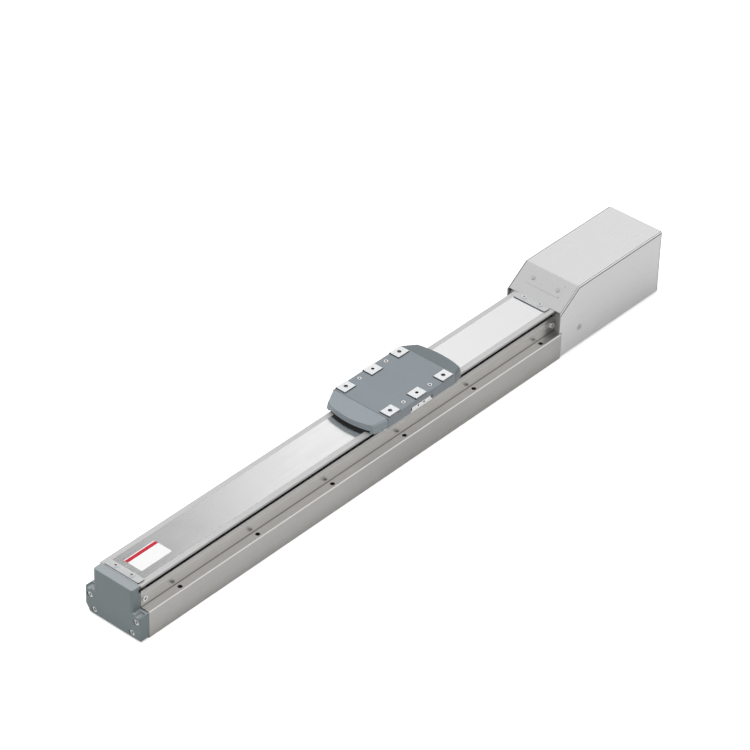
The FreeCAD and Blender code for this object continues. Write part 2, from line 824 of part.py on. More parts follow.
def bay_block(body, start, length, top):
    """Pad a block of the motor end with rounded upper corners."""
    sketch = new_sketch(body, "YZ", start)
    rectangle(sketch, "-(bay_block_half_width)", "bay_block_half_width", "bay_plate_top", top)
    pad(body, sketch, length)
    high = value(top) - TOUCH
    soften(body, "Fillet", "bay_block_corner",
           lambda middle, box: box.ZMin > high and box.XLength > LONG and abs(middle.y) > LONG)


def adapter_places():
    """Places of the screws that join the adapter to the bearing block."""
    return [("%sadapter_screw_half" % side, height)
            for side in ("-", "") for height in ("adapter_screw_low", "adapter_screw_high")]


def make_bearing_block():
    """Block on the rail's end that holds the fixed bearing pair, and the ring that keeps the pair in."""
    body = new_body("bearing_block")
    bay_block(body, "rail_length", "bearing_block_length", "bearing_block_top")
    axis = [("0", "screw_height")]
    bore_row(body, "YZ", "rail_length", axis, "screw_diameter + screw_clearance", "bearing_block_length", "+")
    bore_row(body, "YZ", "adapter_front", axis, "fixed_bearing_outer + 2 * fit_gap", "bearing_seat_depth")
    places = end_screw_places("rear_screw_lower_height")
    bore_row(body, "YZ", "adapter_front", places, "m4_recess", "cap_screw_recess")
    bore_row(body, "YZ", "adapter_front", places, "m4_hole", "bearing_block_length")
    bore_row(body, "YZ", "adapter_front", adapter_places(), "m4_tap",
             "adapter_screw_grip + tap_spare")
    corners = four_places("retainer_screw_half", "retainer_screw_half")
    taps = [(y, "screw_height + %s" % z) for y, z in corners]
    bore_row(body, "YZ", "adapter_front", taps, "m3_tap", "retainer_screw_grip + tap_spare")
    bore_row(body, "XY", "bay_plate_top", both_sides("rail_length + bottom_screw_front", "bottom_screw_half"),
             "m3_tap", "bottom_screw_grip + tap_spare", "+")

    screws("bearing_block_screws", "YZ", "adapter_front - cap_screw_recess", places, "m4_head",
           "m4_head_height", "m4_shank", "bearing_block_length - cap_screw_recess + end_screw_grip", "+")
    race = "fixed_bearing_outer - 2 * fixed_bearing_race"
    ring("fixed_bearing_outer_rings", "bearing_front", "fixed_bearing_width", "fixed_bearing_outer", race,
         ("0", "fixed_bearing_width + bearing_pair_gap"), z="screw_height")

    keeper = new_body("bearing_retainer", z="screw_height")
    sketch = new_sketch(keeper, "YZ", "adapter_front")
    circle(sketch, "0", "0", "retainer_diameter")
    circle(sketch, "0", "0", race)
    pad(keeper, sketch, "retainer_thickness")
    sketch = new_sketch(keeper, "YZ", "bearing_rear")
    circle(sketch, "0", "0", "fixed_bearing_outer")
    circle(sketch, "0", "0", race)
    pad(keeper, sketch, "adapter_front - bearing_rear")
    bore_row(keeper, "YZ", "adapter_front + retainer_thickness", corners, "m3_hole", "retainer_thickness")
    screws("retainer_screws", "YZ", "adapter_front + retainer_thickness", corners, "m3_head", "m3_pan_height",
           "m3_shank", "retainer_thickness + retainer_screw_grip", "+", z="screw_height")


def make_adapter():
    """Adapter between the bearing block and the motor, bored out round the coupling."""
    body = new_body("motor_adapter")
    bay_block(body, "adapter_front", "adapter_length", "adapter_top")
    axis = [("0", "screw_height")]
    bore_row(body, "YZ", "adapter_front", axis, "adapter_bore", "adapter_length", "+")
    bore_row(body, "YZ", "motor_face", axis, "motor_pilot + 2 * fit_gap", "motor_pilot_depth")
    bore_row(body, "YZ", "motor_face", adapter_places(), "m4_recess", "cap_screw_recess")
    bore_row(body, "YZ", "motor_face", adapter_places(), "m4_hole", "adapter_length")
    bore_row(body, "YZ", "motor_face", motor_screw_places(), "m4_tap",
             "motor_screw_grip + tap_spare")
    side = [("rail_length + side_fix_place", "side_fix_height")]
    for sign, toward in (("", "-"), ("-", "+")):
        bore_row(body, "XZ", "%s(bay_block_half_width)" % sign, side, "m4_tap",
                 "side_fix_grip + tap_spare", toward)
    bore_row(body, "XY", "bay_plate_top",
             both_sides("rail_length + bottom_screw_front + bottom_screw_pitch", "bottom_screw_half"),
             "m3_tap", "bottom_screw_grip + tap_spare", "+")
    screws("adapter_screws", "YZ", "motor_face - cap_screw_recess", adapter_places(), "m4_head",
           "m4_head_height", "m4_shank", "adapter_length - cap_screw_recess + adapter_screw_grip", "+")


def motor_screw_places():
    """Corners of the motor's flange."""
    return [(y, "screw_height + %s" % z) for y, z in four_places("motor_screw_half", "motor_screw_half")]


def make_motor():
    """Servo motor: flange with pilot, finned body with notched corners, encoder cap and two sockets."""
    flange = new_body("motor_flange", x="motor_face", z="screw_height")
    sketch = new_sketch(flange, "YZ")
    rectangle(sketch, "-motor_half_width", "motor_half_width", "-motor_half_width", "motor_half_width")
    pad(flange, sketch, "motor_flange_thickness")
    soften(flange, "Fillet", "motor_edge", lambda middle, box: box.XLength > LONG)
    peg_row(flange, "YZ", "0", [("0", "0")], "motor_pilot", "motor_pilot_depth", "-")
    bore_row(flange, "YZ", "-motor_pilot_depth", [("0", "0")],
             "motor_shaft_diameter + 2 * nut_running_gap", "motor_pilot_depth + motor_flange_thickness", "+")
    corners = four_places("motor_screw_half", "motor_screw_half")
    bore_row(flange, "YZ", "0", corners, "m4_hole", "motor_flange_thickness", "+")

    body = new_body("motor_body", x="motor_face + motor_flange_thickness", z="screw_height")
    sketch = new_sketch(body, "YZ")
    rectangle(sketch, "-motor_half_width", "motor_half_width", "-motor_half_width", "motor_half_width")
    pad(body, sketch, "motor_body_length")
    soften(body, "Chamfer", "motor_edge", lambda middle, box: box.XLength > LONG)
    sketch = new_sketch(body, "YZ")
    for y, z in corners:
        circle(sketch, y, z, "motor_screw_notch")
    pocket(body, sketch, "motor_screw_notch_length", "+")

    motor_rear = "motor_face + motor_flange_thickness + motor_body_length"
    cap = new_body("encoder_cap", x=motor_rear, z="screw_height")
    sketch = new_sketch(cap, "YZ")
    half = "encoder_half_width"
    rectangle(sketch, "-" + half, half, "-" + half, half)
    pad(cap, sketch, "encoder_length")
    soften(cap, "Fillet", "motor_edge", lambda middle, box: middle.x > LONG)

    plugs = new_body("motor_connectors", x=motor_rear, z="screw_height")
    plug_foot = value("motor_half_width") + TOUCH
    for end in ("-connector_inset", "-2 * connector_inset - connector_length"):
        sketch = new_sketch(plugs, "XY", "motor_half_width")
        rectangle(sketch, "%s - connector_length" % end, end, "-connector_half_width", "connector_half_width")
        pad(plugs, sketch, "connector_height")
    soften(plugs, "Chamfer", "connector_edge", lambda middle, box: middle.z > plug_foot)

    screws("motor_screws", "YZ", "motor_flange_thickness", corners, "m4_head", "m4_head_height", "m4_shank",
           "motor_flange_thickness + motor_screw_grip", "+", x="motor_face", z="screw_height")


def make_motor_cover():
    """Folded sheet cover with a sloping front, and the openings for its plate, screws and grommet."""
    body = helper_body("motor_cover_form")
    sketch = new_sketch(body, "XZ")
    foot_rise = "(slope_foot - bay_front) * slope_rise / slope_run"
    polygon(sketch, [
        ("rail_length + bay_step_gap", "bay_bottom"),
        ("bay_rear", "bay_bottom"),
        ("bay_rear", "bay_top"),
        ("slope_foot + slope_run", "bay_top"),
        ("bay_front", "slope_foot_height - %s" % foot_rise),
        ("bay_front", "bay_step_height"),
        ("rail_length + bay_step_gap", "bay_step_height"),
    ])
    pad(body, sketch, "2 * bay_half_width", "=")
    rear = value("bay_rear") - TOUCH
    top = value("bay_top") - TOUCH
    step = value("bay_step_height") + TOUCH


    def outer_fold(middle, box):
        return box.ZMin > top or (box.YLength < TOUCH and box.XLength > LONG and middle.z > step)

    soften(body, "Fillet", "bay_corner", lambda middle, box: box.YLength < TOUCH and box.XMin > rear)
    soften(body, "Fillet", "bay_bend", outer_fold)

    bore_row(body, "XZ", "0", [("rail_length + side_fix_place", "side_fix_height")], "m4_hole",
             "2 * (bay_half_width + overcut)", "=")
    for sign, toward in (("", "-"), ("-", "+")):
        bore_row(body, "XZ", "%s(bay_half_width)" % sign,
                 [("rail_length + side_fix_place", "side_fix_height")], "m4_flat_recess", "side_fix_recess",
                 toward)
    sketch = new_sketch(body, "YZ", "bay_rear")
    rectangle(sketch, "-grommet_half_width", "grommet_half_width", "grommet_height - grommet_half_height",
              "grommet_height + grommet_half_height")
    pocket(body, sketch, "2 * bay_wall")

    sketch = slope_sketch(body, "0")
    rectangle(sketch, "plate_start + plate_lap", "plate_start + plate_length - plate_lap",
              "-plate_half_width + plate_end_lap", "plate_half_width - plate_end_lap")
    pocket(body, sketch, "2 * bay_wall")
    sketch = slope_sketch(body, "0")
    for x, y in plate_screw_places():
        circle(sketch, x, y, "m3_tap")
    pocket(body, sketch, "2 * bay_wall")
    cover = combine("Cut", "motor_cover", body, make_cover_core())
    set_place(cover, "0")
    pieces.append(cover)


def make_cover_core():
    """Room inside the motor cover, with the inner side of each bend."""
    core = helper_body("motor_cover_core")
    sketch = new_sketch(core, "XZ")
    foot = "lid_top + lid_rest_gap"
    foot_place = "slope_foot + (%s - slope_foot_height + slope_drop) * slope_run / slope_rise" % foot
    knee_place = "slope_foot + (bay_inner_top - slope_foot_height + slope_drop) * slope_run / slope_rise"
    polygon(sketch, [
        ("bay_front - overcut", "bay_bottom - overcut"),
        ("bay_rear - bay_wall", "bay_bottom - overcut"),
        ("bay_rear - bay_wall", "bay_inner_top"),
        (knee_place, "bay_inner_top"),
        (foot_place, foot),
        ("bay_front - overcut", foot),
    ])
    pad(core, sketch, "2 * bay_inner_half", "=")
    top = value("bay_inner_top") - TOUCH
    back = value("bay_rear - bay_wall") - TOUCH

    def inner_fold(middle, box):
        if box.YLength > TOUCH:
            return box.ZMin > top and box.XMax > back
        return box.ZMin > top or (box.XLength > LONG and box.ZLength > LONG)

    soften(core, "Fillet", "bay_inner_corner", lambda middle, box: box.YLength < TOUCH and box.XMin > back)
    soften(core, "Fillet", "bay_bend - bay_wall", inner_fold)
    return core


def slope_sketch(body, lift):
    """Open a sketch in the plane of the cover's slope, x up the slope from its foot."""
    sketch = new_sketch(body, "XY")
    lean = "atan(slope_rise / slope_run)"
    sketch.AttachmentOffset = FreeCAD.Placement(V(0, 0, 0), FreeCAD.Rotation(V(0, 1, 0), -1))
    sketch.setExpression("AttachmentOffset.Rotation.Angle", bound("-1 * " + lean))
    sketch.setExpression("AttachmentOffset.Base.x",
                         bound("slope_foot - %s * slope_rise / slope_length" % lift))
    sketch.setExpression("AttachmentOffset.Base.z",
                         bound("slope_foot_height + %s * slope_run / slope_length" % lift))
    return sketch


def plate_screw_places():
    """Places of the access plate's screws, in the slope's own plane."""
    return both_sides("plate_start + plate_length / 2", "plate_screw_half_spacing")


def make_cover_fittings():
    """Plates, screws and grommet of the motor cover."""
    plate = new_body("access_plate")
    sketch = slope_sketch(plate, "0")
    rectangle(sketch, "plate_start", "plate_start + plate_length", "-plate_half_width", "plate_half_width")
    pad(plate, sketch, "plate_thickness")
    limit = value("plate_thickness") + TOUCH
    soften(plate, "Fillet", "plate_corner", lambda middle, box: box.DiagonalLength < limit)
    sketch = slope_sketch(plate, "plate_thickness")
    for x, y in plate_screw_places():
        circle(sketch, x, y, "m3_hole")
    pocket(plate, sketch, "plate_thickness")

    body = new_body("access_plate_screws")
    for diameter, length, toward in (("m3_head", "plate_screw_head_height", "+"),
                                     ("m3_shank", "plate_thickness + plate_screw_grip", "-")):
        sketch = slope_sketch(body, "plate_thickness")
        for x, y in plate_screw_places():
            circle(sketch, x, y, diameter)
        pad(body, sketch, length, toward)

    body = new_body("cover_side_screws")
    seat = "(bay_half_width - side_fix_recess)"
    place = [("rail_length + side_fix_place", "side_fix_height")]
    reach = "bay_wall - side_fix_recess + (bay_inner_half - bay_block_half_width) + side_fix_grip"
    for sign, out, back in (("-", "-", "+"), ("", "+", "-")):
        peg_row(body, "XZ", sign + seat, place, "m4_flat_head", "m4_flat_height", out)
        peg_row(body, "XZ", sign + seat, place, "m4_shank", reach, back)
        hexagon_row(body, "XZ", "%s(%s + m4_flat_height)" % (sign, seat), place, "m3_socket",
                    "m4_flat_height / 2", back)

    floor = new_body("cover_bottom_plate", z="bay_bottom")
    half = "bay_inner_half - bottom_plate_gap"
    sketch = new_sketch(floor, "XY")
    rectangle(sketch, "rail_length + bay_step_gap", "bay_floor_end", "-(%s)" % half, half)
    pad(floor, sketch, "bay_wall")
    rear = value("bay_floor_end") - TOUCH
    soften(floor, "Fillet", "bay_inner_corner", lambda middle, box: box.XMin > rear and box.ZLength > LONG)
    places = bottom_screw_places()
    bore_row(floor, "XY", "bay_wall", places, "m3_hole", "bay_wall")
    screws("bottom_plate_screws", "XY", "bay_bottom", places, "m3_head", "bottom_screw_head_height",
           "m3_shank", "bay_wall + bottom_screw_grip", "-")

    grommet = new_body("cable_grommet", z="grommet_height")
    inner_y = "grommet_half_width - grommet_wall"
    inner_z = "grommet_half_height - grommet_wall"
    lips = (("bay_rear - bay_wall - grommet_lip", "grommet_lip", "grommet_flange"),
            ("bay_rear - bay_wall", "bay_wall", "(-fit_gap)"),
            ("bay_rear", "grommet_lip", "grommet_flange"))
    for start, width, reach in lips:
        sketch = new_sketch(grommet, "YZ", start)
        outer_y = "grommet_half_width + %s" % reach
        outer_z = "grommet_half_height + %s" % reach
        rectangle(sketch, "-(%s)" % outer_y, outer_y, "-(%s)" % outer_z, outer_z)
        rectangle(sketch, "-(%s)" % inner_y, inner_y, "-(%s)" % inner_z, inner_z)
        pad(grommet, sketch, width)


def bottom_screw_places():
    """Places of the bottom plate's screws, in the bearing block and the adapter."""
    front = "rail_length + bottom_screw_front"
    return both_sides(front, "bottom_screw_half") + both_sides(front + " + bottom_screw_pitch",
                                                               "bottom_screw_half")


# Carriage: x is measured from its middle

def make_runners():
    """Runner blocks that straddle the guide rails, and the screws that hang them from the saddle."""
    for label, side in (("right_runner_blocks", "-"), ("left_runner_blocks", "")):
        body = new_body(label, x="carriage_place", y="%sguide_half_spacing" % side)
        for end in ("-", "+"):
            start = "%s1 * runner_half_spacing - runner_length / 2" % end
            sketch = new_sketch(body, "YZ", start)
            throat = "guide_width / 2 + runner_gap"
            polygon(sketch, mirrored([
                (throat, "runner_bottom"),
                ("runner_width / 2", "runner_bottom"),
                ("runner_width / 2", "runner_top"),
            ])[:3] + [
                ("-runner_width / 2", "runner_top"),
                ("-runner_width / 2", "runner_bottom"),
                ("-(%s)" % throat, "runner_bottom"),
                ("-(%s)" % throat, "guide_top + runner_gap"),
                (throat, "guide_top + runner_gap"),
            ])
            pad(body, sketch, "runner_length")
        taps = [(x, "%srunner_screw_offset" % side) for x in runner_screw_row()]
        bore_row(body, "XY", "runner_top", taps, "runner_screw_shank + 2 * thread_gap",
                 "runner_screw_grip + runner_tap_spare")
    places = runner_screw_places()
    screws("runner_screws", "XY", "runner_floor", places, "runner_screw_head", "runner_screw_head_height",
           "runner_screw_shank", "runner_screw_floor + runner_screw_grip", "+", x="carriage_place")


def runner_screw_row():
    """Places of the runner screws along the carriage."""
    return ["%s1 * runner_half_spacing %s runner_screw_half_pitch" % (end, step)
            for end in ("-", "+") for step in ("-", "+")]


def runner_screw_places():
    """Places of all the runner screws, in the carriage's plan."""
    half = "guide_half_spacing + runner_screw_offset"
    return [place for x in runner_screw_row() for place in both_sides(x, half)]


def saddle_screw_places():
    """Places of the screws that hold the block's arms to the saddle."""
    return [place for x in ("-saddle_screw_pitch", "0", "saddle_screw_pitch")
            for place in both_sides(x, "saddle_screw_half_spacing")]


def make_saddle():
    """Saddle inside the rail: it carries the ball nut and hangs on the four runner blocks."""
    body = new_body("saddle", x="carriage_place")
    sketch = new_sketch(body, "YZ", "-saddle_length / 2")
    polygon(sketch, mirrored([
        ("saddle_half_width", "runner_top"),
        ("saddle_half_width", "saddle_top - saddle_edge"),
        ("saddle_half_width - saddle_edge", "saddle_top"),
    ]))
    pad(body, sketch, "saddle_length")
    sketch = new_sketch(body, "XZ")
    rectangle(sketch, "nut_seat", "saddle_length / 2 + overcut",
              "screw_height - nut_flange_half_flat - nut_recess_gap",
              "screw_height + nut_flange_half_flat + nut_recess_gap")
    pocket(body, sketch, "2 * (saddle_half_width + overcut)", "=")
    axis = [("0", "screw_height")]
    bore_row(body, "YZ", "nut_seat", axis, "screw_diameter + screw_clearance", "saddle_length")
    bore_row(body, "YZ", "nut_seat", axis, "nut_diameter + 2 * fit_gap", "nut_length + nut_end_gap")
    taps = [(y, "screw_height + %s" % z) for y, z in nut_screw_corners()]
    bore_row(body, "YZ", "nut_seat", taps, "m3_tap", "nut_screw_grip + tap_spare")
    bore_row(body, "XY", "saddle_top", runner_screw_places(), "runner_access", "saddle_top - runner_floor")
    bore_row(body, "XY", "runner_floor", runner_screw_places(), "runner_screw_hole", "runner_screw_floor")
    bore_row(body, "XY", "saddle_top", saddle_screw_places(), "m4_tap",
             "saddle_screw_depth + tap_spare")


def nut_screw_corners():
    """Corners of the nut's flange, from the screw's axis."""
    return four_places("nut_screw_half_spacing", "nut_screw_half_height")


def make_nut():
    """Ball nut with a flange cut flat above and below, and its four screws."""
    body = new_body("ball_nut", x="carriage_place + nut_seat", z="screw_height")
    peg_row(body, "YZ", "0", [("0", "0")], "nut_diameter", "nut_length", "-")
    peg_row(body, "YZ", "0", [("0", "0")], "nut_flange_diameter", "nut_flange_thickness")
    for low, high in (("nut_flange_half_flat", "nut_flange_diameter"),
                      ("-nut_flange_diameter", "-nut_flange_half_flat")):
        sketch = new_sketch(body, "YZ")
        rectangle(sketch, "-nut_flange_diameter", "nut_flange_diameter", low, high)
        pocket(body, sketch, "nut_flange_thickness", "+")
    bore_row(body, "YZ", "nut_flange_thickness", [("0", "0")], "screw_diameter + 2 * nut_running_gap",
             "nut_length + nut_flange_thickness")
    bore_row(body, "YZ", "nut_flange_thickness", nut_screw_corners(), "m3_hole", "nut_flange_thickness")
    screws("ball_nut_screws", "YZ", "nut_flange_thickness", nut_screw_corners(), "m3_head", "m3_head_height",
           "m3_shank", "nut_flange_thickness + nut_screw_grip", "+", x="carriage_place + nut_seat",
           z="screw_height")


def mount_pad_places(rows=("-mount_pad_pitch", "0", "mount_pad_pitch")):
    """Middles of the mounting pads."""
    return [place for x in rows for place in both_sides(x, "mount_pad_half_spacing")]


def make_slider_block():
    """Slider block: a table with six raised pads over the lid, and arms that reach in through the slots."""
    body = new_body("slider_block", x="carriage_place")
    sketch = new_sketch(body, "YZ", "-block_length / 2")
    right = [
        ("arm_inner_half", "saddle_top"),
        ("leg_half - leg_chamfer_width", "saddle_top"),
        ("leg_half", "saddle_top + leg_chamfer_height"),
        ("leg_half", "table_top - block_side_depth - block_side_step"),
        ("block_half_width", "table_top - block_side_depth"),
        ("block_half_width", "table_top"),
    ]
    left_inner = [
        ("-arm_inner_half", "arm_top"),
        ("-(tunnel_half)", "arm_top"),
        ("-(tunnel_half)", "table_bottom"),
        ("tunnel_half", "table_bottom"),
        ("tunnel_half", "arm_top"),
        ("arm_inner_half", "arm_top"),
    ]
    polygon(sketch, mirrored(right) + left_inner)
    pad(body, sketch, "block_length")

    sketch = new_sketch(body, "XZ")
    rectangle(sketch, "-(boss_half_length)", "boss_half_length", "table_top - block_side_depth",
              "cover_bottom + window_height - boss_top_gap")
    pad(body, sketch, "2 * boss_half", "=")

    sketch = new_sketch(body, "XY", "table_top")
    half_x = "mount_pad_length / 2"
    half_y = "mount_pad_width / 2"
    for x, y in mount_pad_places():
        rectangle(sketch, "%s - %s" % (x, half_x), "%s + %s" % (x, half_x),
                  "%s - %s" % (y, half_y), "%s + %s" % (y, half_y))
    pad(body, sketch, "mount_pad_top - table_top")
    top = value("mount_pad_top") - TOUCH
    soften(body, "Chamfer", "mount_pad_chamfer", lambda middle, box: box.ZMin > top)

    bore_row(body, "XY", "mount_pad_top", mount_pad_places(("-mount_pad_pitch", "mount_pad_pitch")),
             "mount_hole", "mount_hole_depth")
    bore_row(body, "XY", "mount_pad_top", mount_pad_places(("0",)), "dowel_hole", "dowel_hole_depth")
    bore_row(body, "XY", "table_top", four_places("cover_screw_half_pitch", "cover_screw_half_spacing"),
             "m3_tap", "cover_screw_grip + tap_spare")
    bore_row(body, "XY", "table_top", saddle_screw_places(), "saddle_screw_head", "table_thickness + overcut")
    bore_row(body, "XY", "arm_top", saddle_screw_places(), "saddle_screw_head", "saddle_screw_head_height")
    bore_row(body, "XY", "arm_top", saddle_screw_places(), "m4_hole", "arm_top - saddle_top + overcut")
    side_holes = [("-side_hole_half_pitch", "cover_bottom + side_hole_height"),
                  ("side_hole_half_pitch", "cover_bottom + side_hole_height")]
    bore_row(body, "XZ", "boss_half", side_holes, "side_hole", "side_hole_depth")
    bore_row(body, "XZ", "-(boss_half)", side_holes, "side_hole", "side_hole_depth", "+")
    screws("saddle_screws", "XY", "arm_top - saddle_screw_head_height", saddle_screw_places(), "m4_head",
           "saddle_screw_head_height", "m4_shank",
           "arm_top - saddle_screw_head_height - saddle_top + saddle_screw_depth", "+", x="carriage_place")


def make_carriage_cover():
    """Grey cover over the block, with six pad windows and a window in each skirt."""
    body = new_body("carriage_cover", x="carriage_place")
    sketch = new_sketch(body, "YZ", "-(seam)")
    right = [
        ("cover_inner_half", "cover_bottom"),
        ("cover_half", "cover_bottom"),
        ("cover_half", "cover_top"),
    ]
    inner = [
        ("-(cover_inner_half)", "cover_bottom"),
        ("-(cover_inner_half)", "cover_inner_top"),
        ("cover_inner_half", "cover_inner_top"),
    ]
    polygon(sketch, right + [("-(cover_half)", "cover_top"), ("-(cover_half)", "cover_bottom")] + inner)
    pad(body, sketch, "cover_length")
    top = value("cover_top") - TOUCH
    half = value("cover_half") - TOUCH
    soften(body, "Fillet", "cover_edge_radius", lambda middle, box: box.ZMin > top and abs(middle.y) > half)
    sketch = new_sketch(body, "XY", "cover_top")
    half_x = "(mount_pad_length / 2 + pad_window_gap)"
    half_y = "(mount_pad_width / 2 + pad_window_gap)"
    for x, y in mount_pad_places():
        rectangle(sketch, "%s - %s" % (x, half_x), "%s + %s" % (x, half_x),
                  "%s - %s" % (y, half_y), "%s + %s" % (y, half_y))
    pocket(body, sketch, "cover_wall + cover_seat_gap + pad_window_gap")
    sketch = new_sketch(body, "XZ")
    rectangle(sketch, "-window_half_length", "window_half_length", "cover_bottom - overcut",
              "cover_bottom + window_height")
    pocket(body, sketch, "2 * (cover_half + overcut)", "=")
    places = four_places("cover_screw_half_pitch", "cover_screw_half_spacing")
    bore_row(body, "XY", "cover_top", places, "m3_hole", "cover_wall")
    bore_row(body, "XY", "cover_top", places, "m3_recess", "cover_screw_recess_depth")
    screws("carriage_cover_screws", "XY", "cover_top - cover_screw_recess_depth", places, "m3_head",
           "cover_screw_head_height", "m3_shank",
           "cover_wall - cover_screw_recess_depth + cover_seat_gap + cover_screw_grip", "+", "m3_socket",
           x="carriage_place")


def hood_loft(name, side, wall, reach):
    """Loft the hood's form, drawn in by a wall, from the seam to its front plane."""
    body = helper_body(name)
    brow = "hood_brow_half - %s" % wall
    edge = "(cover_edge_radius - %s / 2)" % wall
    half = "cover_half - %s" % wall
    top = "cover_top - %s" % wall
    front_top = "cover_top - hood_top_drop - %s" % wall
    front_edge = "%s / 2" % edge
    sections = (
        ("seam - %s" % reach, [
            (half, "cover_bottom - %s" % reach),
            (half, "%s - %s" % (top, edge)),
            ("%s - %s" % (half, edge), top),
        ]),
        ("hood_end", [
            ("hood_foot_half - %s" % wall, "cover_bottom - hood_bottom_drop - %s" % reach),
            (brow + " + %s" % front_edge, "%s - %s" % (front_top, front_edge)),
            (brow, front_top),
        ]),
    )
    sketches = []
    for place, corners in sections:
        sketch = new_sketch(body, "YZ", "%s(%s)" % (side, place))
        polygon(sketch, mirrored(corners))
        sketches.append(sketch)
    loft = body.newObject("PartDesign::AdditiveLoft", name + "_loft")
    loft.Profile = sketches[0]
    loft.Sections = [sketches[1]]
    loft.Ruled = True
    return body


def upright_cylinder(name, side, radius):
    """Stand a cylinder whose edge gives the hood its curved plan."""
    round_form = doc.addObject("Part::Cylinder", name)
    round_form.setExpression("Radius", bound(radius))
    round_form.setExpression("Height", bound("2 * cover_top"))
    round_form.setExpression("Placement.Base.x", bound("%s1 * (hood_end - hood_arc_radius)" % side))
    return round_form


def combine(kind, name, base, tool):
    """Cut or intersect two solids."""
    result = doc.addObject("Part::" + kind, name)
    result.Base = base
    result.Tool = tool
    return result


def box_between(name, side, start, end, half, low, high):
    """Set a box that starts and ends at distances from the carriage's middle, on one side."""
    block = doc.addObject("Part::Box", name)
    block.setExpression("Length", bound("%s - (%s)" % (end, start)))
    block.setExpression("Width", bound("2 * (%s)" % half))
    block.setExpression("Height", bound("%s - (%s)" % (high, low)))
    near = start if side == "" else "-(%s)" % end
    block.setExpression("Placement.Base.x", bound(near))
    block.setExpression("Placement.Base.y", bound("-(%s)" % half))
    block.setExpression("Placement.Base.z", bound(low))
    return block


def make_hood(label, side):
    """Sloping hood: a hollow loft with a curved front and a gap over the band."""
    outer = combine("Common", label + "_outer", hood_loft(label + "_form", side, "0", "0"),
                    upright_cylinder(label + "_front", side, "hood_arc_radius"))
    inner = combine("Common", label + "_inner", hood_loft(label + "_core_form", side, "cover_wall",
                                                    "overcut"),
                    upright_cylinder(label + "_back", side, "hood_arc_radius - cover_wall"))
    shell = combine("Cut", label + "_shell", outer, inner)
    gap = box_between(label + "_gap", side, "seam", "hood_end + overcut", "hood_gap_half", "lid_bottom",
                      "band_top + hood_gap_top")
    hood = combine("Cut", label, shell, gap)
    hood.Label = label
    set_place(hood, "carriage_place")
    pieces.append(hood)


def make_wiper(label, side):
    """Rubber strip behind the hood's gap that sweeps the band."""
    curve = combine("Cut", label + "_curve",
                    upright_cylinder(label + "_face", side, "hood_arc_radius - cover_wall - fit_gap"),
                    upright_cylinder(label + "_rear", side,
                                     "hood_arc_radius - cover_wall - fit_gap - wiper_thickness"))
    span = box_between(label + "_span", side, "seam", "hood_end", "hood_gap_half - wiper_side_gap",
                       "band_top + wiper_gap", "band_top + wiper_gap + wiper_height")
    wiper = combine("Common", label, curve, span)
    wiper.Label = label
    set_place(wiper, "carriage_place")
    pieces.append(wiper)


# Pieces that turn with the screw

def make_screw():
    """Ball screw with its journals, the rings that turn with it, the lock nut and the circlip."""
    body = new_body("ball_screw", z="screw_height")
    steps = (
        ("screw_front_end", "end_block_length", "screw_front_journal"),
        ("end_block_length", "bearing_front", "screw_diameter"),
        ("bearing_front", "lock_nut_end", "fixed_journal"),
        ("lock_nut_end", "lock_nut_end + screw_tail_length", "screw_tail"),
    )
    sketch = new_sketch(body, "XZ")
    outline = [(steps[0][0], "0")]
    for start, end, diameter in steps:
        outline.append((start, "%s / 2" % diameter))
        outline.append((end, "%s / 2" % diameter))
    outline.append((steps[-1][1], "0"))
    polygon(sketch, outline)
    turned = body.newObject("PartDesign::Revolution", "ball_screw_turned")
    turned.Profile = sketch
    turned.ReferenceAxis = (sketch, ["H_Axis"])
    turned.Angle = 360
    bore = "screw_front_journal"
    bearing = "end_block_length - front_bearing_width"
    ring("front_bearing_inner_ring", bearing, "front_bearing_width", bore + " + 2 * front_bearing_race", bore,
         z="screw_height")
    ring("front_circlip", bearing + " - circlip_width", "circlip_width", "circlip_outer", bore,
         z="screw_height")
    ring("front_bearing_outer_ring", bearing, "front_bearing_width", "front_bearing_outer",
         "front_bearing_outer - 2 * front_bearing_race", z="screw_height")
    ring("fixed_bearing_inner_rings", "bearing_front", "fixed_bearing_width",
         "fixed_journal + 2 * fixed_bearing_race", "fixed_journal",
         ("0", "fixed_bearing_width + bearing_pair_gap"), z="screw_height")
    ring("lock_nut", "bearing_rear", "lock_nut_width", "lock_nut_outer", "fixed_journal", z="screw_height")


def jaw_strip(body, place, upright, low, high, toward):
    """Pocket a strip across the coupling, upright or level."""
    half = "coupling_diameter"
    sketch = new_sketch(body, "YZ", place)
    if upright:
        rectangle(sketch, low, high, "-" + half, half)
    else:
        rectangle(sketch, "-" + half, half, low, high)
    pocket(body, sketch, "coupling_jaw_length", toward)


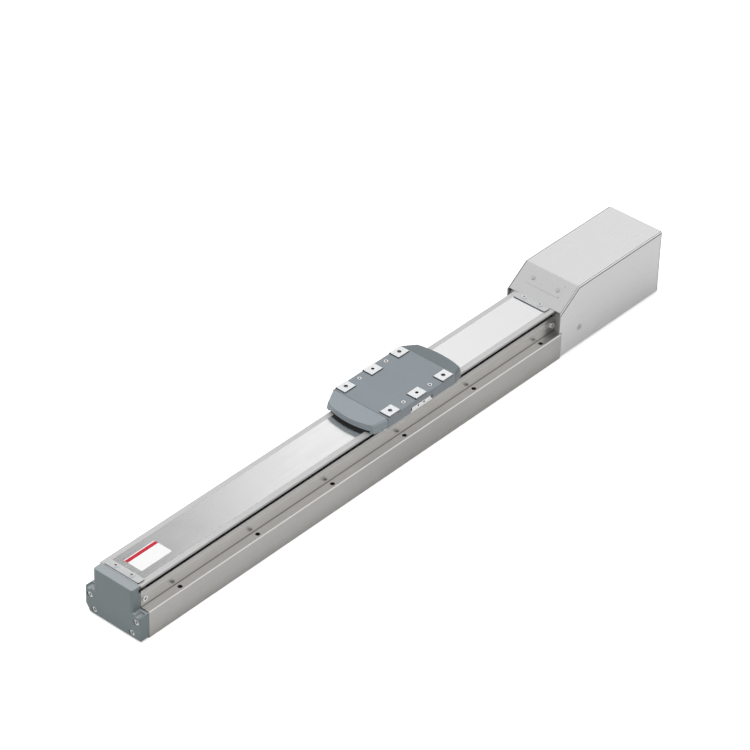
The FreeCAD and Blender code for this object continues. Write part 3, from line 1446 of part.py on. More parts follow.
def make_coupling():
    """Jaw coupling: a hub on the screw, a hub on the motor's shaft and the soft spider between them."""
    jaw_foot = "(coupling_diameter / 2 - jaw_width)"
    hubs = (("screw_coupling_hub", "hub_start", "jaw_start", "screw_tail", "+", False),
            ("motor_coupling_hub", "jaw_end", "jaw_end", "motor_shaft_diameter", "-", True))
    for label, start, jaw_place, bore, toward, upright in hubs:
        body = new_body(label, z="screw_height")
        rounds = ((start, "hub_length", bore, "+"),
                  (jaw_place, "coupling_jaw_length - coupling_gap", "spider_bore", toward))
        for place, length, hole, side in rounds:
            sketch = new_sketch(body, "YZ", place)
            circle(sketch, "0", "0", "coupling_diameter")
            circle(sketch, "0", "0", hole)
            pad(body, sketch, length, side)
        jaw_strip(body, jaw_place, upright, "-" + jaw_foot, jaw_foot, toward)

    spider = new_body("coupling_spider", z="screw_height")
    sketch = new_sketch(spider, "YZ", "jaw_start + coupling_gap / 2")
    circle(sketch, "0", "0", "coupling_diameter")
    circle(sketch, "0", "0", "spider_bore")
    pad(spider, sketch, "coupling_jaw_length - coupling_gap")
    for upright in (False, True):
        foot = "(%s - coupling_gap)" % jaw_foot
        jaw_strip(spider, "jaw_start", upright, foot, "coupling_diameter", "+")
        jaw_strip(spider, "jaw_start", upright, "-coupling_diameter", "-" + foot, "+")


def make_motor_shaft():
    """Motor shaft, from the coupling through the flange."""
    body = new_body("motor_shaft", x="motor_face", z="screw_height")
    peg_row(body, "YZ", "motor_flange_thickness", [("0", "0")], "motor_shaft_diameter",
            "motor_flange_thickness + motor_shaft_length", "-")


make_base()
make_lid_and_band()
make_end_cap()
make_end_blocks()
make_guide()
make_bumpers()
make_bearing_block()
make_adapter()
make_motor()
make_motor_cover()
make_cover_fittings()
make_runners()
make_saddle()
make_nut()
make_slider_block()
make_carriage_cover()
for hood_side, hood_name in (("-", "front"), ("", "rear")):
    make_hood(hood_name + "_hood", hood_side)
    make_wiper(hood_name + "_wiper", hood_side)
make_screw()
make_coupling()
make_motor_shaft()
doc.recompute()

faults = []
for item in doc.Objects:
    if "Invalid" in item.State or "Error" in item.State:
        faults.append("%s failed: %s" % (item.Label, item.State))
    elif item.TypeId == "PartDesign::Pocket" and not item.Shape.isNull():
        if item.Shape.Volume > item.BaseFeature.Shape.Volume - 0.01:
            faults.append("%s cuts nothing" % item.Label)
faults += ["%s has no sound shape" % item.Label for item in pieces
           if item.Shape.isNull() or not item.Shape.isValid()]
if faults:
    raise RuntimeError("; ".join(faults))

os.makedirs("parts", exist_ok=True)
for item in pieces:
    item.Shape.exportStep("parts/%s.step" % item.Label)
    print("%-28s solids %2d volume %10.1f" % (item.Label, len(item.Shape.Solids), item.Shape.Volume))
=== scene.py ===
"""Looks of a ball-screw linear module whose motor lies under a folded sheet cover.

Metres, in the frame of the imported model: X runs along the rail towards the motor and Z is up.
"""

import math

import bpy
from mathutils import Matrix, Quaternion, Vector


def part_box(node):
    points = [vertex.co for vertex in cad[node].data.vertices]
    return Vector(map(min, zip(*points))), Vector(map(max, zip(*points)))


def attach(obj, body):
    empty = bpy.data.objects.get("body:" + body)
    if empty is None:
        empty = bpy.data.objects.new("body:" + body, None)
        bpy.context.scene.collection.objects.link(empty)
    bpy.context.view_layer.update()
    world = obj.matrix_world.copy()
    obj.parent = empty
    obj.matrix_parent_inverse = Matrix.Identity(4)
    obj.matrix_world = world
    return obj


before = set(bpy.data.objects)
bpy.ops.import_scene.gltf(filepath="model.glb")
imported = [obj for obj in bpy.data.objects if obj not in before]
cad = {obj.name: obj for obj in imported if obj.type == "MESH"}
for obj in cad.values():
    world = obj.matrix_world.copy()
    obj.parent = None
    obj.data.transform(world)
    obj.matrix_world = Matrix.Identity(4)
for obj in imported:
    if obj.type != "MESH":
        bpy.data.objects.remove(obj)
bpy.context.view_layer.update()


# Studio. A pale floor and a plain soft sky, with one wide lamp high above and a weaker one on the
# near side. Shiny faces mirror a sky that is dark near the ground and has one dark strip across it
# between two bright ones. The camera sees the sky and the floor as white.

class Wire:
    """A socket of the node tree in hand. Sums, differences and products add Math nodes."""

    tree = None

    def __init__(self, socket):
        self.socket = socket

    @staticmethod
    def node(kind, settings, sockets, output=0):
        """Add any node: its settings first, then the values or links of its sockets."""
        made = Wire.tree.nodes.new(kind)
        for name, setting in settings.items():
            if name != "stops":
                setattr(made, name, setting)
                continue
            marks = made.color_ramp.elements
            while len(marks) < len(setting):
                marks.new(0.5)
            for mark, (position, shade) in zip(marks, setting):
                mark.position = position
                mark.color = (shade, shade, shade, 1)
        for name, given in sockets.items():
            if isinstance(given, Wire):
                Wire.tree.links.new(given.socket, made.inputs[name])
            else:
                made.inputs[name].default_value = given
        return Wire(made.outputs[output]) if made.outputs else None

    @staticmethod
    def math(operation, first, second):
        """Add a Math node of two values."""
        return Wire.node("ShaderNodeMath", {"operation": operation}, {0: first, 1: second})

    def __add__(self, other):
        return Wire.math("ADD", self, other)

    __radd__ = __add__

    def __sub__(self, other):
        return Wire.math("SUBTRACT", self, other)

    def __rsub__(self, other):
        return Wire.math("SUBTRACT", other, self)

    def __mul__(self, other):
        return Wire.math("MULTIPLY", self, other)

    __rmul__ = __mul__


def mixed(mask, first, second):
    """Mix two colours by a mask: the first where it is 0, the second where it is 1."""
    return Wire.node("ShaderNodeMix", {"data_type": "RGBA"}, {0: mask, 6: first, 7: second}, 2)


def new_material(name):
    """Start an empty material and make its tree the one in hand."""
    material = bpy.data.materials.new(name)
    material.use_nodes = True
    material.node_tree.nodes.clear()
    Wire.tree = material.node_tree
    return material


scene = bpy.context.scene
scene.view_settings.view_transform = "Standard"

# Places from 0 to 1 along a slanted line through the mirrored sky, and how bright the sky is there.
GLOW_LINE = (1, -0.55, -0.35)
GLOW_STOPS = [(0.12, 0.62), (0.39, 0.92), (0.43, 1.25), (0.478, 0.15), (0.515, 0.02),
              (0.538, 1.60), (0.566, 0.78), (0.589, 0.90), (0.80, 1)]
MIRRORED_GROUND = (0.22, 0.22, 0.23, 1)
LOW_SKY, HIGH_SKY = (0.42, 0.42, 0.43, 1), (0.80, 0.80, 0.80, 1)
WHITE = (1, 1, 1, 1)

world = bpy.data.worlds.new("studio_sky")
scene.world = world
world.use_nodes = True
world.node_tree.nodes.clear()
Wire.tree = world.node_tree
heading = Wire.node("ShaderNodeTexCoord", {}, {}, "Generated")
across = Wire.node("ShaderNodeVectorMath", {"operation": "DOT_PRODUCT"}, {0: heading, 1: GLOW_LINE}, "Value")
glow = Wire.node("ShaderNodeValToRGB", {"stops": GLOW_STOPS}, {"Fac": across * 0.4 + 0.5})
rise = Wire.node("ShaderNodeSeparateXYZ", {}, {"Vector": heading}, "Z")
near_ground = Wire.node("ShaderNodeMapRange", {"interpolation_type": "SMOOTHSTEP"},
                        {"Value": rise, "From Min": 0.08, "From Max": 0.42, "To Min": 1, "To Max": 0})
mirrored = mixed(near_ground, glow, MIRRORED_GROUND)
lighting = mixed(rise, LOW_SKY, HIGH_SKY)
camera_sees = Wire.node("ShaderNodeLightPath", {}, {}, "Is Camera Ray")
metal_sees = Wire.node("ShaderNodeLightPath", {}, {}, "Is Glossy Ray")
shown = mixed(camera_sees, mixed(metal_sees, lighting, mirrored), WHITE)
sky = Wire.node("ShaderNodeBackground", {}, {"Color": shown, "Strength": 1})
Wire.node("ShaderNodeOutputWorld", {}, {"Surface": sky})


def lamp(name, place, aim, width, height, power):
    """Hang a rectangular soft lamp that looks at a point."""
    light = bpy.data.lights.new(name, "AREA")
    light.shape = "RECTANGLE"
    light.size = width
    light.size_y = height
    light.energy = power
    stand = bpy.data.objects.new(name, light)
    stand.location = place
    stand.rotation_mode = "QUATERNION"
    stand.rotation_quaternion = (Vector(aim) - Vector(place)).to_track_quat("-Z", "Y")
    stand.visible_glossy = False
    scene.collection.objects.link(stand)


lamp("overhead_lamp", place=(-0.8, 0.4, 2.1), aim=(0, 0, 0), width=2.2, height=1.8, power=34)
lamp("near_lamp", place=(0.3, -2.6, 1.3), aim=(0.1, 0, 0), width=1.8, height=1.2, power=8)

FLOOR_SIZE = 30
FLOOR_LIT, FLOOR_SEEN, FLOOR_LIFT = (0.66, 0.66, 0.66, 1), (0.86, 0.86, 0.86, 1), (0.46, 0.46, 0.46, 1)
BLACK = (0, 0, 0, 1)
bpy.ops.object.select_all(action="DESELECT")
bpy.ops.mesh.primitive_plane_add(size=FLOOR_SIZE, location=(0, 0, 0))
floor = bpy.context.object
floor.name = "studio_floor"
paper = new_material("floor_paper")
camera_sees = Wire.node("ShaderNodeLightPath", {}, {}, "Is Camera Ray")
matt = Wire.node("ShaderNodeBsdfDiffuse", {}, {"Color": mixed(camera_sees, FLOOR_LIT, FLOOR_SEEN)})
lifted = Wire.node("ShaderNodeEmission", {}, {"Color": mixed(camera_sees, BLACK, FLOOR_LIFT), "Strength": 1})
paper_shader = Wire.node("ShaderNodeAddShader", {}, {0: matt, 1: lifted})
Wire.node("ShaderNodeOutputMaterial", {}, {"Surface": paper_shader})
floor.data.materials.append(paper)

AZIMUTH, ELEVATION, ROLL = math.radians(-50.043), math.radians(36.172), math.radians(2.033)
VIEWPOINT = (-2.48837, -2.05955, 2.45138)
LENS, SENSOR_WIDTH, SHIFT_DOWN = 173.38, 36, 0.0007
forward = Vector((-math.sin(AZIMUTH) * math.cos(ELEVATION), math.cos(AZIMUTH) * math.cos(ELEVATION),
                  -math.sin(ELEVATION)))
view = bpy.data.cameras.new("photo_camera")
view.lens = LENS
view.sensor_width = SENSOR_WIDTH
view.shift_y = SHIFT_DOWN
camera = bpy.data.objects.new("photo_camera", view)
camera.location = VIEWPOINT
camera.rotation_mode = "QUATERNION"
camera.rotation_quaternion = forward.to_track_quat("-Z", "Y") @ Quaternion((0, 0, 1), ROLL)
scene.collection.objects.link(camera)
scene.camera = camera


# Base. An extruded and anodised aluminium profile: fine die lines run along it and the skin is a
# little warm. Its sharp edges are lighter, part wear and part painted highlight, its upward faces
# are painted lighter, and painted shade darkens its channel, bolt holes and each wall's foot.

def noise(scale, detail=3, roughness=0.55):
    """Soft noise from 0 to 1 whose grain is stretched by a scale for each axis."""
    place = Wire.node("ShaderNodeTexCoord", {}, {}, "Object")
    stretched = Wire.node("ShaderNodeMapping", {}, {"Vector": place, "Scale": scale})
    return Wire.node("ShaderNodeTexNoise", {},
                     {"Vector": stretched, "Scale": 1, "Detail": detail, "Roughness": roughness})


def contrast(value, low, high):
    """Spread the part of a value between low and high over 0 to 1."""
    return Wire.node("ShaderNodeMapRange", {}, {"Value": value, "From Min": low, "From Max": high})


def rounded_edge(radius):
    """The normal of edges rounded by a radius, and a mask of where they turn."""
    turned = Wire.node("ShaderNodeBevel", {"samples": 6}, {"Radius": radius})
    straight = Wire.node("ShaderNodeNewGeometry", {}, {}, "Normal")
    likeness = Wire.node("ShaderNodeVectorMath", {"operation": "DOT_PRODUCT"}, {0: turned, 1: straight}, "Value")
    return turned, contrast(1 - likeness, 0.01, 0.25)


def surface(sockets):
    """Close the material in hand with a Principled shader."""
    shader = Wire.node("ShaderNodeBsdfPrincipled", {}, sockets)
    Wire.node("ShaderNodeOutputMaterial", {}, {"Surface": shader})


def metal(name, colour, edge_wear_and_highlight, grain, roughness, edge=0.0004, bump=0.00001, blotch=0.06, metallic=1, marks=None):
    """Bare or anodised metal with a directed grain, faint blotches and lighter edges, part wear and part painted
    highlight.

    Marks is a function that adds the piece's marks, painted light and shade among them, to the colour and the
    roughness.
    """
    material = new_material(name)
    normal, corner = rounded_edge(edge)
    lines = noise(grain, detail=4, roughness=0.6)
    cloud = noise((30, 30, 30))
    scuff = noise((260, 260, 260), detail=2)
    tone = contrast(lines * 0.6 + cloud * 0.4, 0.3, 0.7)
    dark = tuple(c * (1 - blotch) for c in colour) + (1,)
    light = tuple(min(1, c * (1 + blotch)) for c in colour) + (1,)
    skin = mixed(tone, dark, light)
    # Lighter edges: part wear, part painted highlight.
    wear_and_edge_highlight = corner * contrast(scuff, 0.25, 0.6)
    skin = mixed(wear_and_edge_highlight, skin, edge_wear_and_highlight + (1,))
    rough = roughness + (lines - 0.5) * 0.16 + (cloud - 0.5) * 0.06
    if marks:
        skin, rough = marks(skin, rough)
    raised = Wire.node("ShaderNodeBump", {},
                       {"Strength": 0.35, "Distance": bump, "Height": lines, "Normal": normal})
    surface({"Base Color": skin, "Metallic": metallic, "Roughness": rough, "Normal": raised})
    return material


def dress(material, *names):
    """Give CAD nodes a material."""
    for name in names:
        skins = cad[name].data.materials
        skins.clear()
        skins.append(material)


def apart(value, centre=0):
    """How far a value is from a centre."""
    return Wire.math("ABSOLUTE", value - centre, 0)


def place_along(axis):
    """Where a point of the piece lies along an axis, in metres."""
    place = Wire.node("ShaderNodeTexCoord", {}, {}, "Object")
    return Wire.node("ShaderNodeSeparateXYZ", {}, {"Vector": place}, axis)


def facing(axis):
    """How far the surface faces along an axis, from -1 to 1."""
    normal = Wire.node("ShaderNodeNewGeometry", {}, {}, "Normal")
    return Wire.node("ShaderNodeSeparateXYZ", {}, {"Vector": normal}, axis)


def crevice(reach, open_from=0.62):
    """A mask of hollows and tight corners that are narrower than a reach."""
    open_sky = Wire.node("ShaderNodeAmbientOcclusion", {"samples": 8}, {"Distance": reach}, "AO")
    return 1 - contrast(open_sky, open_from * 0.4, open_from)


# Each pair of lengths is where a mark starts and where it is full.
WALL_FACE, LEDGE = 0.0284, 0.0346
CHAMFER_SHADE_LINE, CHAMFER_HIGHLIGHT_LINE = (0.0385, 0.0387), (0.0389, 0.0392)
FOOT_SHADE, BELOW_LEDGE = (0.0011, 0.0005), (LEDGE + 0.0002, LEDGE - 0.0002)
CHANNEL_SIDE, CHANNEL_FLOOR = (0.0272, 0.0270), (0.008, 0.009)
CUT_END = (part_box("base_profile")[0].x + 0.0007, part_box("base_profile")[0].x + 0.0005)
# Painted light and shade: a lighter top, a highlight line, shade lines, and shade in the channel and holes.
BASE_TOP_PAINTED_LIGHT, BASE_PAINTED_HIGHLIGHT, BASE_PAINTED_SHADE = (0.74, 0.73, 0.71, 1), (0.74, 0.73, 0.72, 1), (0.36, 0.36, 0.35, 1)
BASE_CHANNEL_SHADE, BASE_NEAR_BLACK = (0.17, 0.17, 0.165, 1), (0.07, 0.07, 0.07, 1)


def base_marks(skin, rough):
    """Painted shade in the channel, bolt holes and along each wall's foot, painted chamfer lines, lighter tops."""
    half, height = apart(place_along("Y")), place_along("Z")
    up, aside = facing("Z"), apart(facing("Y"))
    # Upward faces are painted lighter: painted light.
    skin = mixed(contrast(up, 0.8, 0.95), skin, BASE_TOP_PAINTED_LIGHT)
    chamfer = contrast(up * aside, 0.3, 0.45)
    # Painted shade on the upper part of the ledge's chamfer, and a painted highlight on its lower part.
    skin = mixed(chamfer * contrast(half, *CHAMFER_SHADE_LINE), skin, BASE_PAINTED_SHADE)
    skin = mixed(chamfer * contrast(half, *CHAMFER_HIGHLIGHT_LINE), skin, BASE_PAINTED_HIGHLIGHT)
    # Painted shade along each wall's foot.
    foot = apart(half, WALL_FACE) + apart(height, LEDGE)
    skin = mixed(contrast(foot, *FOOT_SHADE), skin, BASE_PAINTED_SHADE)
    # Near black on the profile's cut end.
    skin = mixed(contrast(place_along("X"), *CUT_END), skin, BASE_NEAR_BLACK)
    # Painted shade in the channel.
    channel_shade = contrast(half, *CHANNEL_SIDE) * contrast(height, *CHANNEL_FLOOR)
    skin = mixed(channel_shade, skin, BASE_CHANNEL_SHADE)
    # Painted shade in the bolt holes.
    hole_shade = crevice(reach=0.004) * contrast(height, *BELOW_LEDGE)
    return mixed(hole_shade, skin, BASE_NEAR_BLACK), rough


ALONG_RAIL = (5, 900, 900)
anodised = metal("anodised_profile", colour=(0.56, 0.55, 0.53), edge_wear_and_highlight=(0.86, 0.85, 0.83), grain=ALONG_RAIL,
                 roughness=0.3, marks=base_marks)
dress(anodised, "base_profile")


# Guide. Two ground steel rails on the base's floor, screwed down through counterbores, and the
# aluminium blocks that close the channel at each end, held by screws through the walls.

ground_steel = metal("ground_steel", colour=(0.60, 0.61, 0.63), edge_wear_and_highlight=(0.85, 0.85, 0.86), grain=ALONG_RAIL,
                     roughness=0.2)
dress(ground_steel, "right_guide_rail", "left_guide_rail")
milled = metal("milled_aluminium", colour=(0.74, 0.74, 0.74), edge_wear_and_highlight=(0.9, 0.9, 0.9), grain=(400, 400, 400),
               roughness=0.38)
dress(milled, "front_bearing_block", "rear_support_block")

SCREW_GRAIN, SOCKET_PAINTED_SHADE = (700, 700, 700), (0.03, 0.03, 0.03, 1)


def socket_marks(skin, rough):
    """Painted shade in the screw's socket and round its head."""
    return mixed(crevice(reach=0.0025), skin, SOCKET_PAINTED_SHADE), rough


fastener_steel = metal("zinc_screws", colour=(0.90, 0.90, 0.90), edge_wear_and_highlight=(0.97, 0.97, 0.97), grain=SCREW_GRAIN,
                       roughness=0.24, edge=0.0003, metallic=0.8, marks=socket_marks)
dress(fastener_steel, "guide_rail_screws", "side_wall_screws")


# Lid and band. The lid is a flat anodised bar with lighter edges, part wear and part painted
# highlight, and painted shade on its sides. The stainless band on it is brushed along its length,
# and a plate with two screws clamps each of its ends.

lid_half_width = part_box("top_cover")[1].y
LID_EDGE, LID_SIDE_PAINTED_SHADE = (lid_half_width - 0.0009, lid_half_width - 0.0004), (0.38, 0.38, 0.38, 1)


def lid_marks(skin, rough):
    """Painted shade on the lid's sides and along the line where they meet its top."""
    # Painted shade along the lid's edges and on its sides.
    skin = mixed(contrast(apart(place_along("Y")), *LID_EDGE), skin, LID_SIDE_PAINTED_SHADE)
    return mixed(contrast(facing("Z"), 0.8, 0.4), skin, LID_SIDE_PAINTED_SHADE), rough


lid_skin = metal("anodised_lid", colour=(0.565, 0.565, 0.56), edge_wear_and_highlight=(0.92, 0.92, 0.91), grain=ALONG_RAIL,
                 roughness=0.36, metallic=0.4, marks=lid_marks)
dress(lid_skin, "top_cover")
brushed = metal("brushed_band", colour=(0.88, 0.88, 0.88), edge_wear_and_highlight=(0.97, 0.97, 0.97), grain=(9, 2600, 2600),
                roughness=0.2, edge=0.0001, bump=0.000004, blotch=0.02)
dress(brushed, "steel_band")

PLATE_SIDE_SHADE = (0.07, 0.07, 0.075, 1)


def plate_marks(skin, rough):
    """Painted shade on the plate's sides."""
    return mixed(contrast(facing("Z"), 0.6, 0.2), skin, PLATE_SIDE_SHADE), rough


plate_skin = metal("clamp_plate", colour=(0.60, 0.61, 0.62), edge_wear_and_highlight=(0.97, 0.97, 0.97), grain=(300, 60, 300),
                   roughness=0.4, edge=0.0003, metallic=0.5, marks=plate_marks)
dress(plate_skin, "front_band_clamp", "rear_band_clamp")
dress(fastener_steel, "band_clamp_screws")


# Label. A blank white sticker of vinyl with a plain red stripe, stuck on the band near the front
# clamp. It is cut with round corners.

LABEL_FROM_BAND_END, LABEL_ABOVE_BAND = 0.0176, 0.00003
LABEL_LENGTH, LABEL_WIDTH, LABEL_THICKNESS, LABEL_CORNER = 0.0455, 0.026, 0.00012, 0.0012
STRIPE_START, STRIPE_WIDTH = 0.0072, 0.0046
band_low, band_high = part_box("steel_band")
label_x = band_low.x + LABEL_FROM_BAND_END + LABEL_LENGTH / 2
bpy.ops.object.select_all(action="DESELECT")
bpy.ops.mesh.primitive_plane_add(size=1, location=(label_x, 0, band_high.z + LABEL_ABOVE_BAND))
label = bpy.context.object
label.name = "blank_label"
label.scale = (LABEL_LENGTH, LABEL_WIDTH, 1)
bpy.ops.object.transform_apply(location=True, rotation=True, scale=True)
bpy.ops.object.mode_set(mode="EDIT")
bpy.ops.mesh.select_all(action="SELECT")
bpy.ops.mesh.bevel(offset=LABEL_CORNER, segments=5, affect="VERTICES")
bpy.ops.mesh.select_all(action="SELECT")
bpy.ops.mesh.extrude_region_move(TRANSFORM_OT_translate={"value": (0, 0, LABEL_THICKNESS)})
bpy.ops.mesh.select_all(action="SELECT")
bpy.ops.mesh.normals_make_consistent(inside=False)
bpy.ops.object.mode_set(mode="OBJECT")
vinyl = new_material("label_vinyl")
offset = place_along("Y")
inside = Wire.math("GREATER_THAN", offset, STRIPE_START) * Wire.math("LESS_THAN", offset, STRIPE_START + STRIPE_WIDTH)
fibre = noise((500, 500, 500))
paper_white = mixed(fibre, (0.72, 0.72, 0.72, 1), (0.80, 0.80, 0.80, 1))
stripe_red = mixed(fibre, (0.42, 0.004, 0.018, 1), (0.50, 0.007, 0.026, 1))
surface({"Base Color": mixed(inside, paper_white, stripe_red), "Roughness": 0.42 + (fibre - 0.5) * 0.1})
label.data.materials.append(vinyl)
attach(label, "root")


# End cap. Cast aluminium under a grey-blue coat: a fine orange-peel surface, thin light edges and
# four socket screws in counterbores.

def coat(name, colour, edge_wear_and_highlight, roughness, edge=0.0006, peel=900, shine=0.5, wear_and_highlight=0.6, marks=None):
    """Satin paint with a fine peel, faint clouds and lighter edges, part wear and part painted highlight."""
    material = new_material(name)
    normal, corner = rounded_edge(edge)
    grain = noise((peel, peel, peel), detail=2)
    cloud = noise((22, 22, 22))
    scuff = noise((180, 180, 180))
    dark = tuple(c * 0.93 for c in colour) + (1,)
    light = tuple(c * 1.07 for c in colour) + (1,)
    skin = mixed(contrast(cloud * 0.7 + grain * 0.3, 0.3, 0.7), dark, light)
    # Lighter edges: part wear, part painted highlight.
    skin = mixed(corner * contrast(scuff, 0.3, 0.65) * wear_and_highlight, skin, edge_wear_and_highlight + (1,))
    rough = roughness + (cloud - 0.5) * 0.12
    if marks:
        skin, rough = marks(skin, rough)
    raised = Wire.node("ShaderNodeBump", {},
                       {"Strength": 0.4, "Distance": 0.00002, "Height": grain, "Normal": normal})
    surface({"Base Color": skin, "Roughness": rough, "Specular IOR Level": shine, "Normal": raised})
    return material


CAP_TOP_PAINTED_LIGHT, COUNTERBORES = (0.29, 0.315, 0.328, 1), (0.028, 0.027)
# Dark colour of the hood joints, also used as painted shade in counterbores, flanks, notches and gaps.
DARK_JOINT_AND_SHADE = (0.04, 0.045, 0.05, 1)


def cap_marks(skin, rough):
    """Painted light makes its upward faces paler, and painted shade darkens the counterbores."""
    # Upward faces are painted lighter: painted light.
    skin = mixed(contrast(facing("Z"), 0.85, 0.95), skin, CAP_TOP_PAINTED_LIGHT)
    # Painted shade in the counterbores.
    counterbore_shade = crevice(reach=0.0035, open_from=0.7) * contrast(place_along("Z"), *COUNTERBORES)
    return mixed(counterbore_shade, skin, DARK_JOINT_AND_SHADE), rough


cap_paint = coat("cast_paint", colour=(0.165, 0.20, 0.208), edge_wear_and_highlight=(0.62, 0.66, 0.67), roughness=0.38, edge=0.0009,
                 marks=cap_marks)
dress(cap_paint, "end_cap")
dress(fastener_steel, "end_cap_screws")


# Runners, saddle and nut. Steel runner blocks hang the milled saddle over the guide rails, and the
# ball nut sits in its rear end. Socket screws hold them together.

dress(ground_steel, "right_runner_blocks", "left_runner_blocks", "ball_nut")
dress(fastener_steel, "runner_screws", "ball_nut_screws", "saddle_screws")
dress(milled, "saddle")


# Slider block. One block machined from aluminium, which bridges the lid and is screwed to the
# saddle through the side slots. Its mounting pads and side faces are ground bright.

SIDE_HOLE_HEIGHT, SIDE_HOLE_HALF_PITCH = 0.0703, 0.00475
SIDE_PAD, SIDE_HOLE_RIM, SIDE_HOLE_DEPTH = (0.0393, 0.0394), (0.00135, 0.00125), (0.03945, 0.0394)
PAD_GROUND, SIDE_HOLE_PAINTED_SHADE, BORE_PAINTED_SHADE = (0.98, 0.98, 0.98, 1), (0.01, 0.01, 0.01, 1), (0.02, 0.02, 0.02, 1)
block_low, block_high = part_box("slider_block")
block_middle = (block_low.x + block_high.x) / 2
PAD_FLANK, NOTCH = (block_high.z - 0.0018, block_high.z - 0.0015), (0.0365, 0.0370)


def bore_marks(skin, rough):
    """Painted shade in the bores and side holes, on the pads' flanks and in the notches; side pads ground bright."""
    half, height = apart(place_along("Y")), place_along("Z")
    pad = contrast(half, *SIDE_PAD)
    skin = mixed(pad, skin, PAD_GROUND)
    from_hole = apart(apart(place_along("X"), block_middle), SIDE_HOLE_HALF_PITCH)
    hole = contrast(from_hole, *SIDE_HOLE_RIM) * contrast(apart(height, SIDE_HOLE_HEIGHT), *SIDE_HOLE_RIM)
    # Painted shade in the side holes.
    skin = mixed(hole * contrast(half, *SIDE_HOLE_DEPTH), skin, SIDE_HOLE_PAINTED_SHADE)
    # Painted shade on the pads' flanks and in the window's end notches.
    flank_shade = contrast(height, *PAD_FLANK) * contrast(facing("Z"), 0.85, 0.6)
    notch_shade = contrast(apart(facing("X")), 0.3, 0.6) * contrast(half, *NOTCH)
    skin = mixed(Wire.math("MAXIMUM", flank_shade, notch_shade), skin, DARK_JOINT_AND_SHADE)
    # Painted shade in the bores and hollows.
    bore_shade = crevice(reach=0.004, open_from=0.5) * (1 - pad)
    return mixed(bore_shade, skin, BORE_PAINTED_SHADE), rough - pad * 0.16


block_skin = metal("machined_block", colour=(0.89, 0.905, 0.915), edge_wear_and_highlight=(0.98, 0.98, 0.98), grain=(500, 60, 500),
                   roughness=0.34, edge=0.0003, metallic=0.65, marks=bore_marks)
dress(block_skin, "slider_block")


# Carriage cover, its hoods and wipers. The same satin grey-blue as the end cap, a little smoother
# as it is moulded, with black rubber lips that sweep the band under each hood. The front hood's
# paint is a lighter copy and the rear hood's a darker one: painted light and painted shade.

SEAM = (0.0006, 0.0003)
front_seam, rear_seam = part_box("front_hood")[1].x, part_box("rear_hood")[0].x


def seam_marks(skin, rough):
    """A fine dark line at the joint with each hood, and painted shade in the gaps round pads and screws."""
    along = place_along("X")
    from_seam = Wire.math("MINIMUM", apart(along, front_seam), apart(along, rear_seam))
    skin = mixed(contrast(from_seam, *SEAM) * 0.6, skin, DARK_JOINT_AND_SHADE)
    # Painted shade in the gaps round pads and screws.
    return mixed(crevice(reach=0.0018, open_from=0.85), skin, DARK_JOINT_AND_SHADE), rough


cover_paint = coat("carriage_paint", colour=(0.189, 0.220, 0.241), edge_wear_and_highlight=(0.55, 0.59, 0.62), roughness=0.3,
                   edge=0.0008, peel=1200, shine=0.8, marks=seam_marks)
dress(cover_paint, "carriage_cover")
# A lighter copy of the cover's paint on the front hood, painted light, with a stronger painted edge highlight.
front_hood_lit_paint = coat("front_hood_paint_painted_light", colour=(0.232, 0.268, 0.289), edge_wear_and_highlight=(0.60, 0.64, 0.67), roughness=0.3,
                   edge=0.0008, peel=1200, shine=0.8, wear_and_highlight=0.9, marks=seam_marks)
dress(front_hood_lit_paint, "front_hood")
# A darker copy of the cover's paint on the rear hood: painted shade.
rear_hood_shaded_paint = coat("rear_hood_paint_painted_shade", colour=(0.132, 0.157, 0.170), edge_wear_and_highlight=(0.50, 0.54, 0.57), roughness=0.3,
                  edge=0.0008, peel=1200, shine=0.65, marks=seam_marks)
dress(rear_hood_shaded_paint, "rear_hood")
dress(fastener_steel, "carriage_cover_screws")


def rubber(name, shade, roughness):
    """Matt rubber or plastic with a fine grain and dusty patches."""
    material = new_material(name)
    grain = noise((1500, 1500, 1500), detail=2)
    dust = noise((60, 60, 60))
    dusty = tuple(c * 1.6 + 0.004 for c in shade)
    skin = mixed(contrast(dust, 0.35, 0.8), shade + (1,), dusty + (1,))
    raised = Wire.node("ShaderNodeBump", {}, {"Strength": 0.4, "Distance": 0.00002, "Height": grain})
    surface({"Base Color": skin, "Roughness": roughness + (dust - 0.5) * 0.15, "Normal": raised})
    return material


black_rubber = rubber("black_rubber", shade=(0.012, 0.012, 0.013), roughness=0.6)
dress(black_rubber, "front_wiper", "rear_wiper", "front_bumper", "rear_bumper")


# Ball screw, its bearings and the coupling. Ground steel journals and bearing rings, a blackened
# lock nut, circlip and retainer, and a soft red spider between the coupling's turned hubs.

dress(ground_steel, "ball_screw", "front_bearing_inner_ring", "front_bearing_outer_ring",
      "fixed_bearing_inner_rings", "fixed_bearing_outer_rings", "motor_shaft")
dark_steel = metal("blackened_steel", colour=(0.10, 0.10, 0.105), edge_wear_and_highlight=(0.45, 0.45, 0.46), grain=(500, 500, 500),
                   roughness=0.4, blotch=0.2)
dress(dark_steel, "front_circlip", "lock_nut", "bearing_retainer")
dress(milled, "screw_coupling_hub", "motor_coupling_hub")
red_spider = rubber("red_spider", shade=(0.45, 0.02, 0.02), roughness=0.45)
dress(red_spider, "coupling_spider")


# Bearing block and adapter. Two milled aluminium blocks, anodised dark grey: one holds the fixed
# bearing pair on the rail's end, and the other is screwed to it and carries the motor's flange.

block_grey = metal("grey_anodised", colour=(0.38, 0.38, 0.375), edge_wear_and_highlight=(0.7, 0.7, 0.7), grain=(400, 400, 400),
                   roughness=0.4, metallic=0.5)
dress(block_grey, "bearing_block", "motor_adapter")
dress(fastener_steel, "bearing_block_screws", "retainer_screws", "adapter_screws")


# Servo motor. A bare milled flange on a finned body with a black coat, screwed to the adapter at
# its four corners. A moulded plastic cap covers the encoder, beside two plastic sockets.

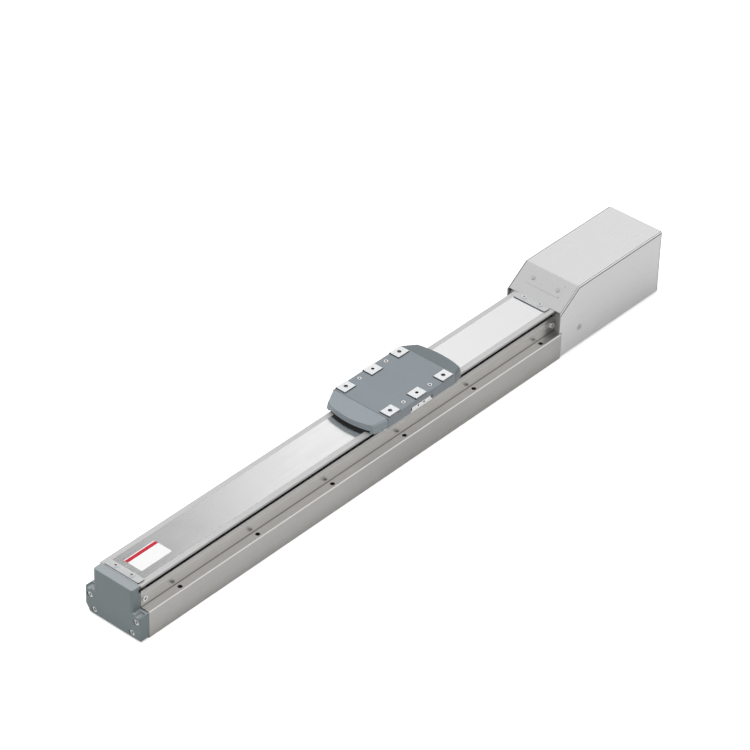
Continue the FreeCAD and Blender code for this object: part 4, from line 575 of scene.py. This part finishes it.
dress(milled, "motor_flange")
motor_paint = coat("motor_coat", colour=(0.02, 0.02, 0.022), edge_wear_and_highlight=(0.2, 0.2, 0.2), roughness=0.45)
dress(motor_paint, "motor_body")
black_plastic = rubber("black_plastic", shade=(0.02, 0.02, 0.02), roughness=0.4)
dress(black_plastic, "encoder_cap", "motor_connectors")
dress(fastener_steel, "motor_screws")


# Motor cover. Folded sheet, brushed and pale: its bends carry a painted highlight and painted
# shade lines. A plate closes the opening in its slope, another the underside, and a rubber grommet
# lines the cable outlet.

FOLD_PAINTED_HIGHLIGHT, FOLD_PAINTED_SHADE = (0.95, 0.95, 0.95, 1), (0.12, 0.12, 0.12, 1)

# A fold turns from 0 on the top to 1 on a side. Each painted shade line fades in over its first
# pair of turns and out over its second.
HIGH_LINE, LOW_LINE = ((0.02, 0.05), (0.36, 0.28)), ((0.74, 0.82), (0.998, 0.99))
FAR_LINE = ((0.02, 0.06), (0.95, 0.85))


def line(turn, fade_in, fade_out):
    """A mask of the stretch of a fold between two turns."""
    return contrast(turn, *fade_in) * contrast(turn, *fade_out)


def fold_marks(skin, rough):
    """Folds are smoother, with a painted highlight on each bend and painted shade lines at their ends and the far
    fold.
    """
    far_side = facing("Y")
    aside = apart(far_side)
    # Painted highlight on each bend; painted shade lines where folds end and along the far fold.
    bend = contrast(aside * (1 - aside), 0.03, 0.12)
    end_shade_lines = line(aside, *LOW_LINE) + line(aside, *HIGH_LINE)
    lines = Wire.math("MAXIMUM", end_shade_lines, line(far_side, *FAR_LINE))
    return mixed(lines, mixed(bend, skin, FOLD_PAINTED_HIGHLIGHT), FOLD_PAINTED_SHADE), rough - bend * 0.14


sheet_skin = metal("folded_sheet", colour=(0.84, 0.84, 0.84), edge_wear_and_highlight=(0.95, 0.95, 0.95), grain=(16, 700, 700),
                   roughness=0.3, edge=0.0003, bump=0.000003, blotch=0.015, marks=fold_marks)
dress(sheet_skin, "motor_cover", "access_plate", "cover_bottom_plate")
nickel = metal("nickel_screws", colour=(0.62, 0.62, 0.62), edge_wear_and_highlight=(0.85, 0.85, 0.85), grain=SCREW_GRAIN,
               roughness=0.3, edge=0.0003, metallic=0.8, marks=socket_marks)
dress(nickel, "access_plate_screws", "cover_side_screws", "bottom_plate_screws")
dress(black_rubber, "cable_grommet")
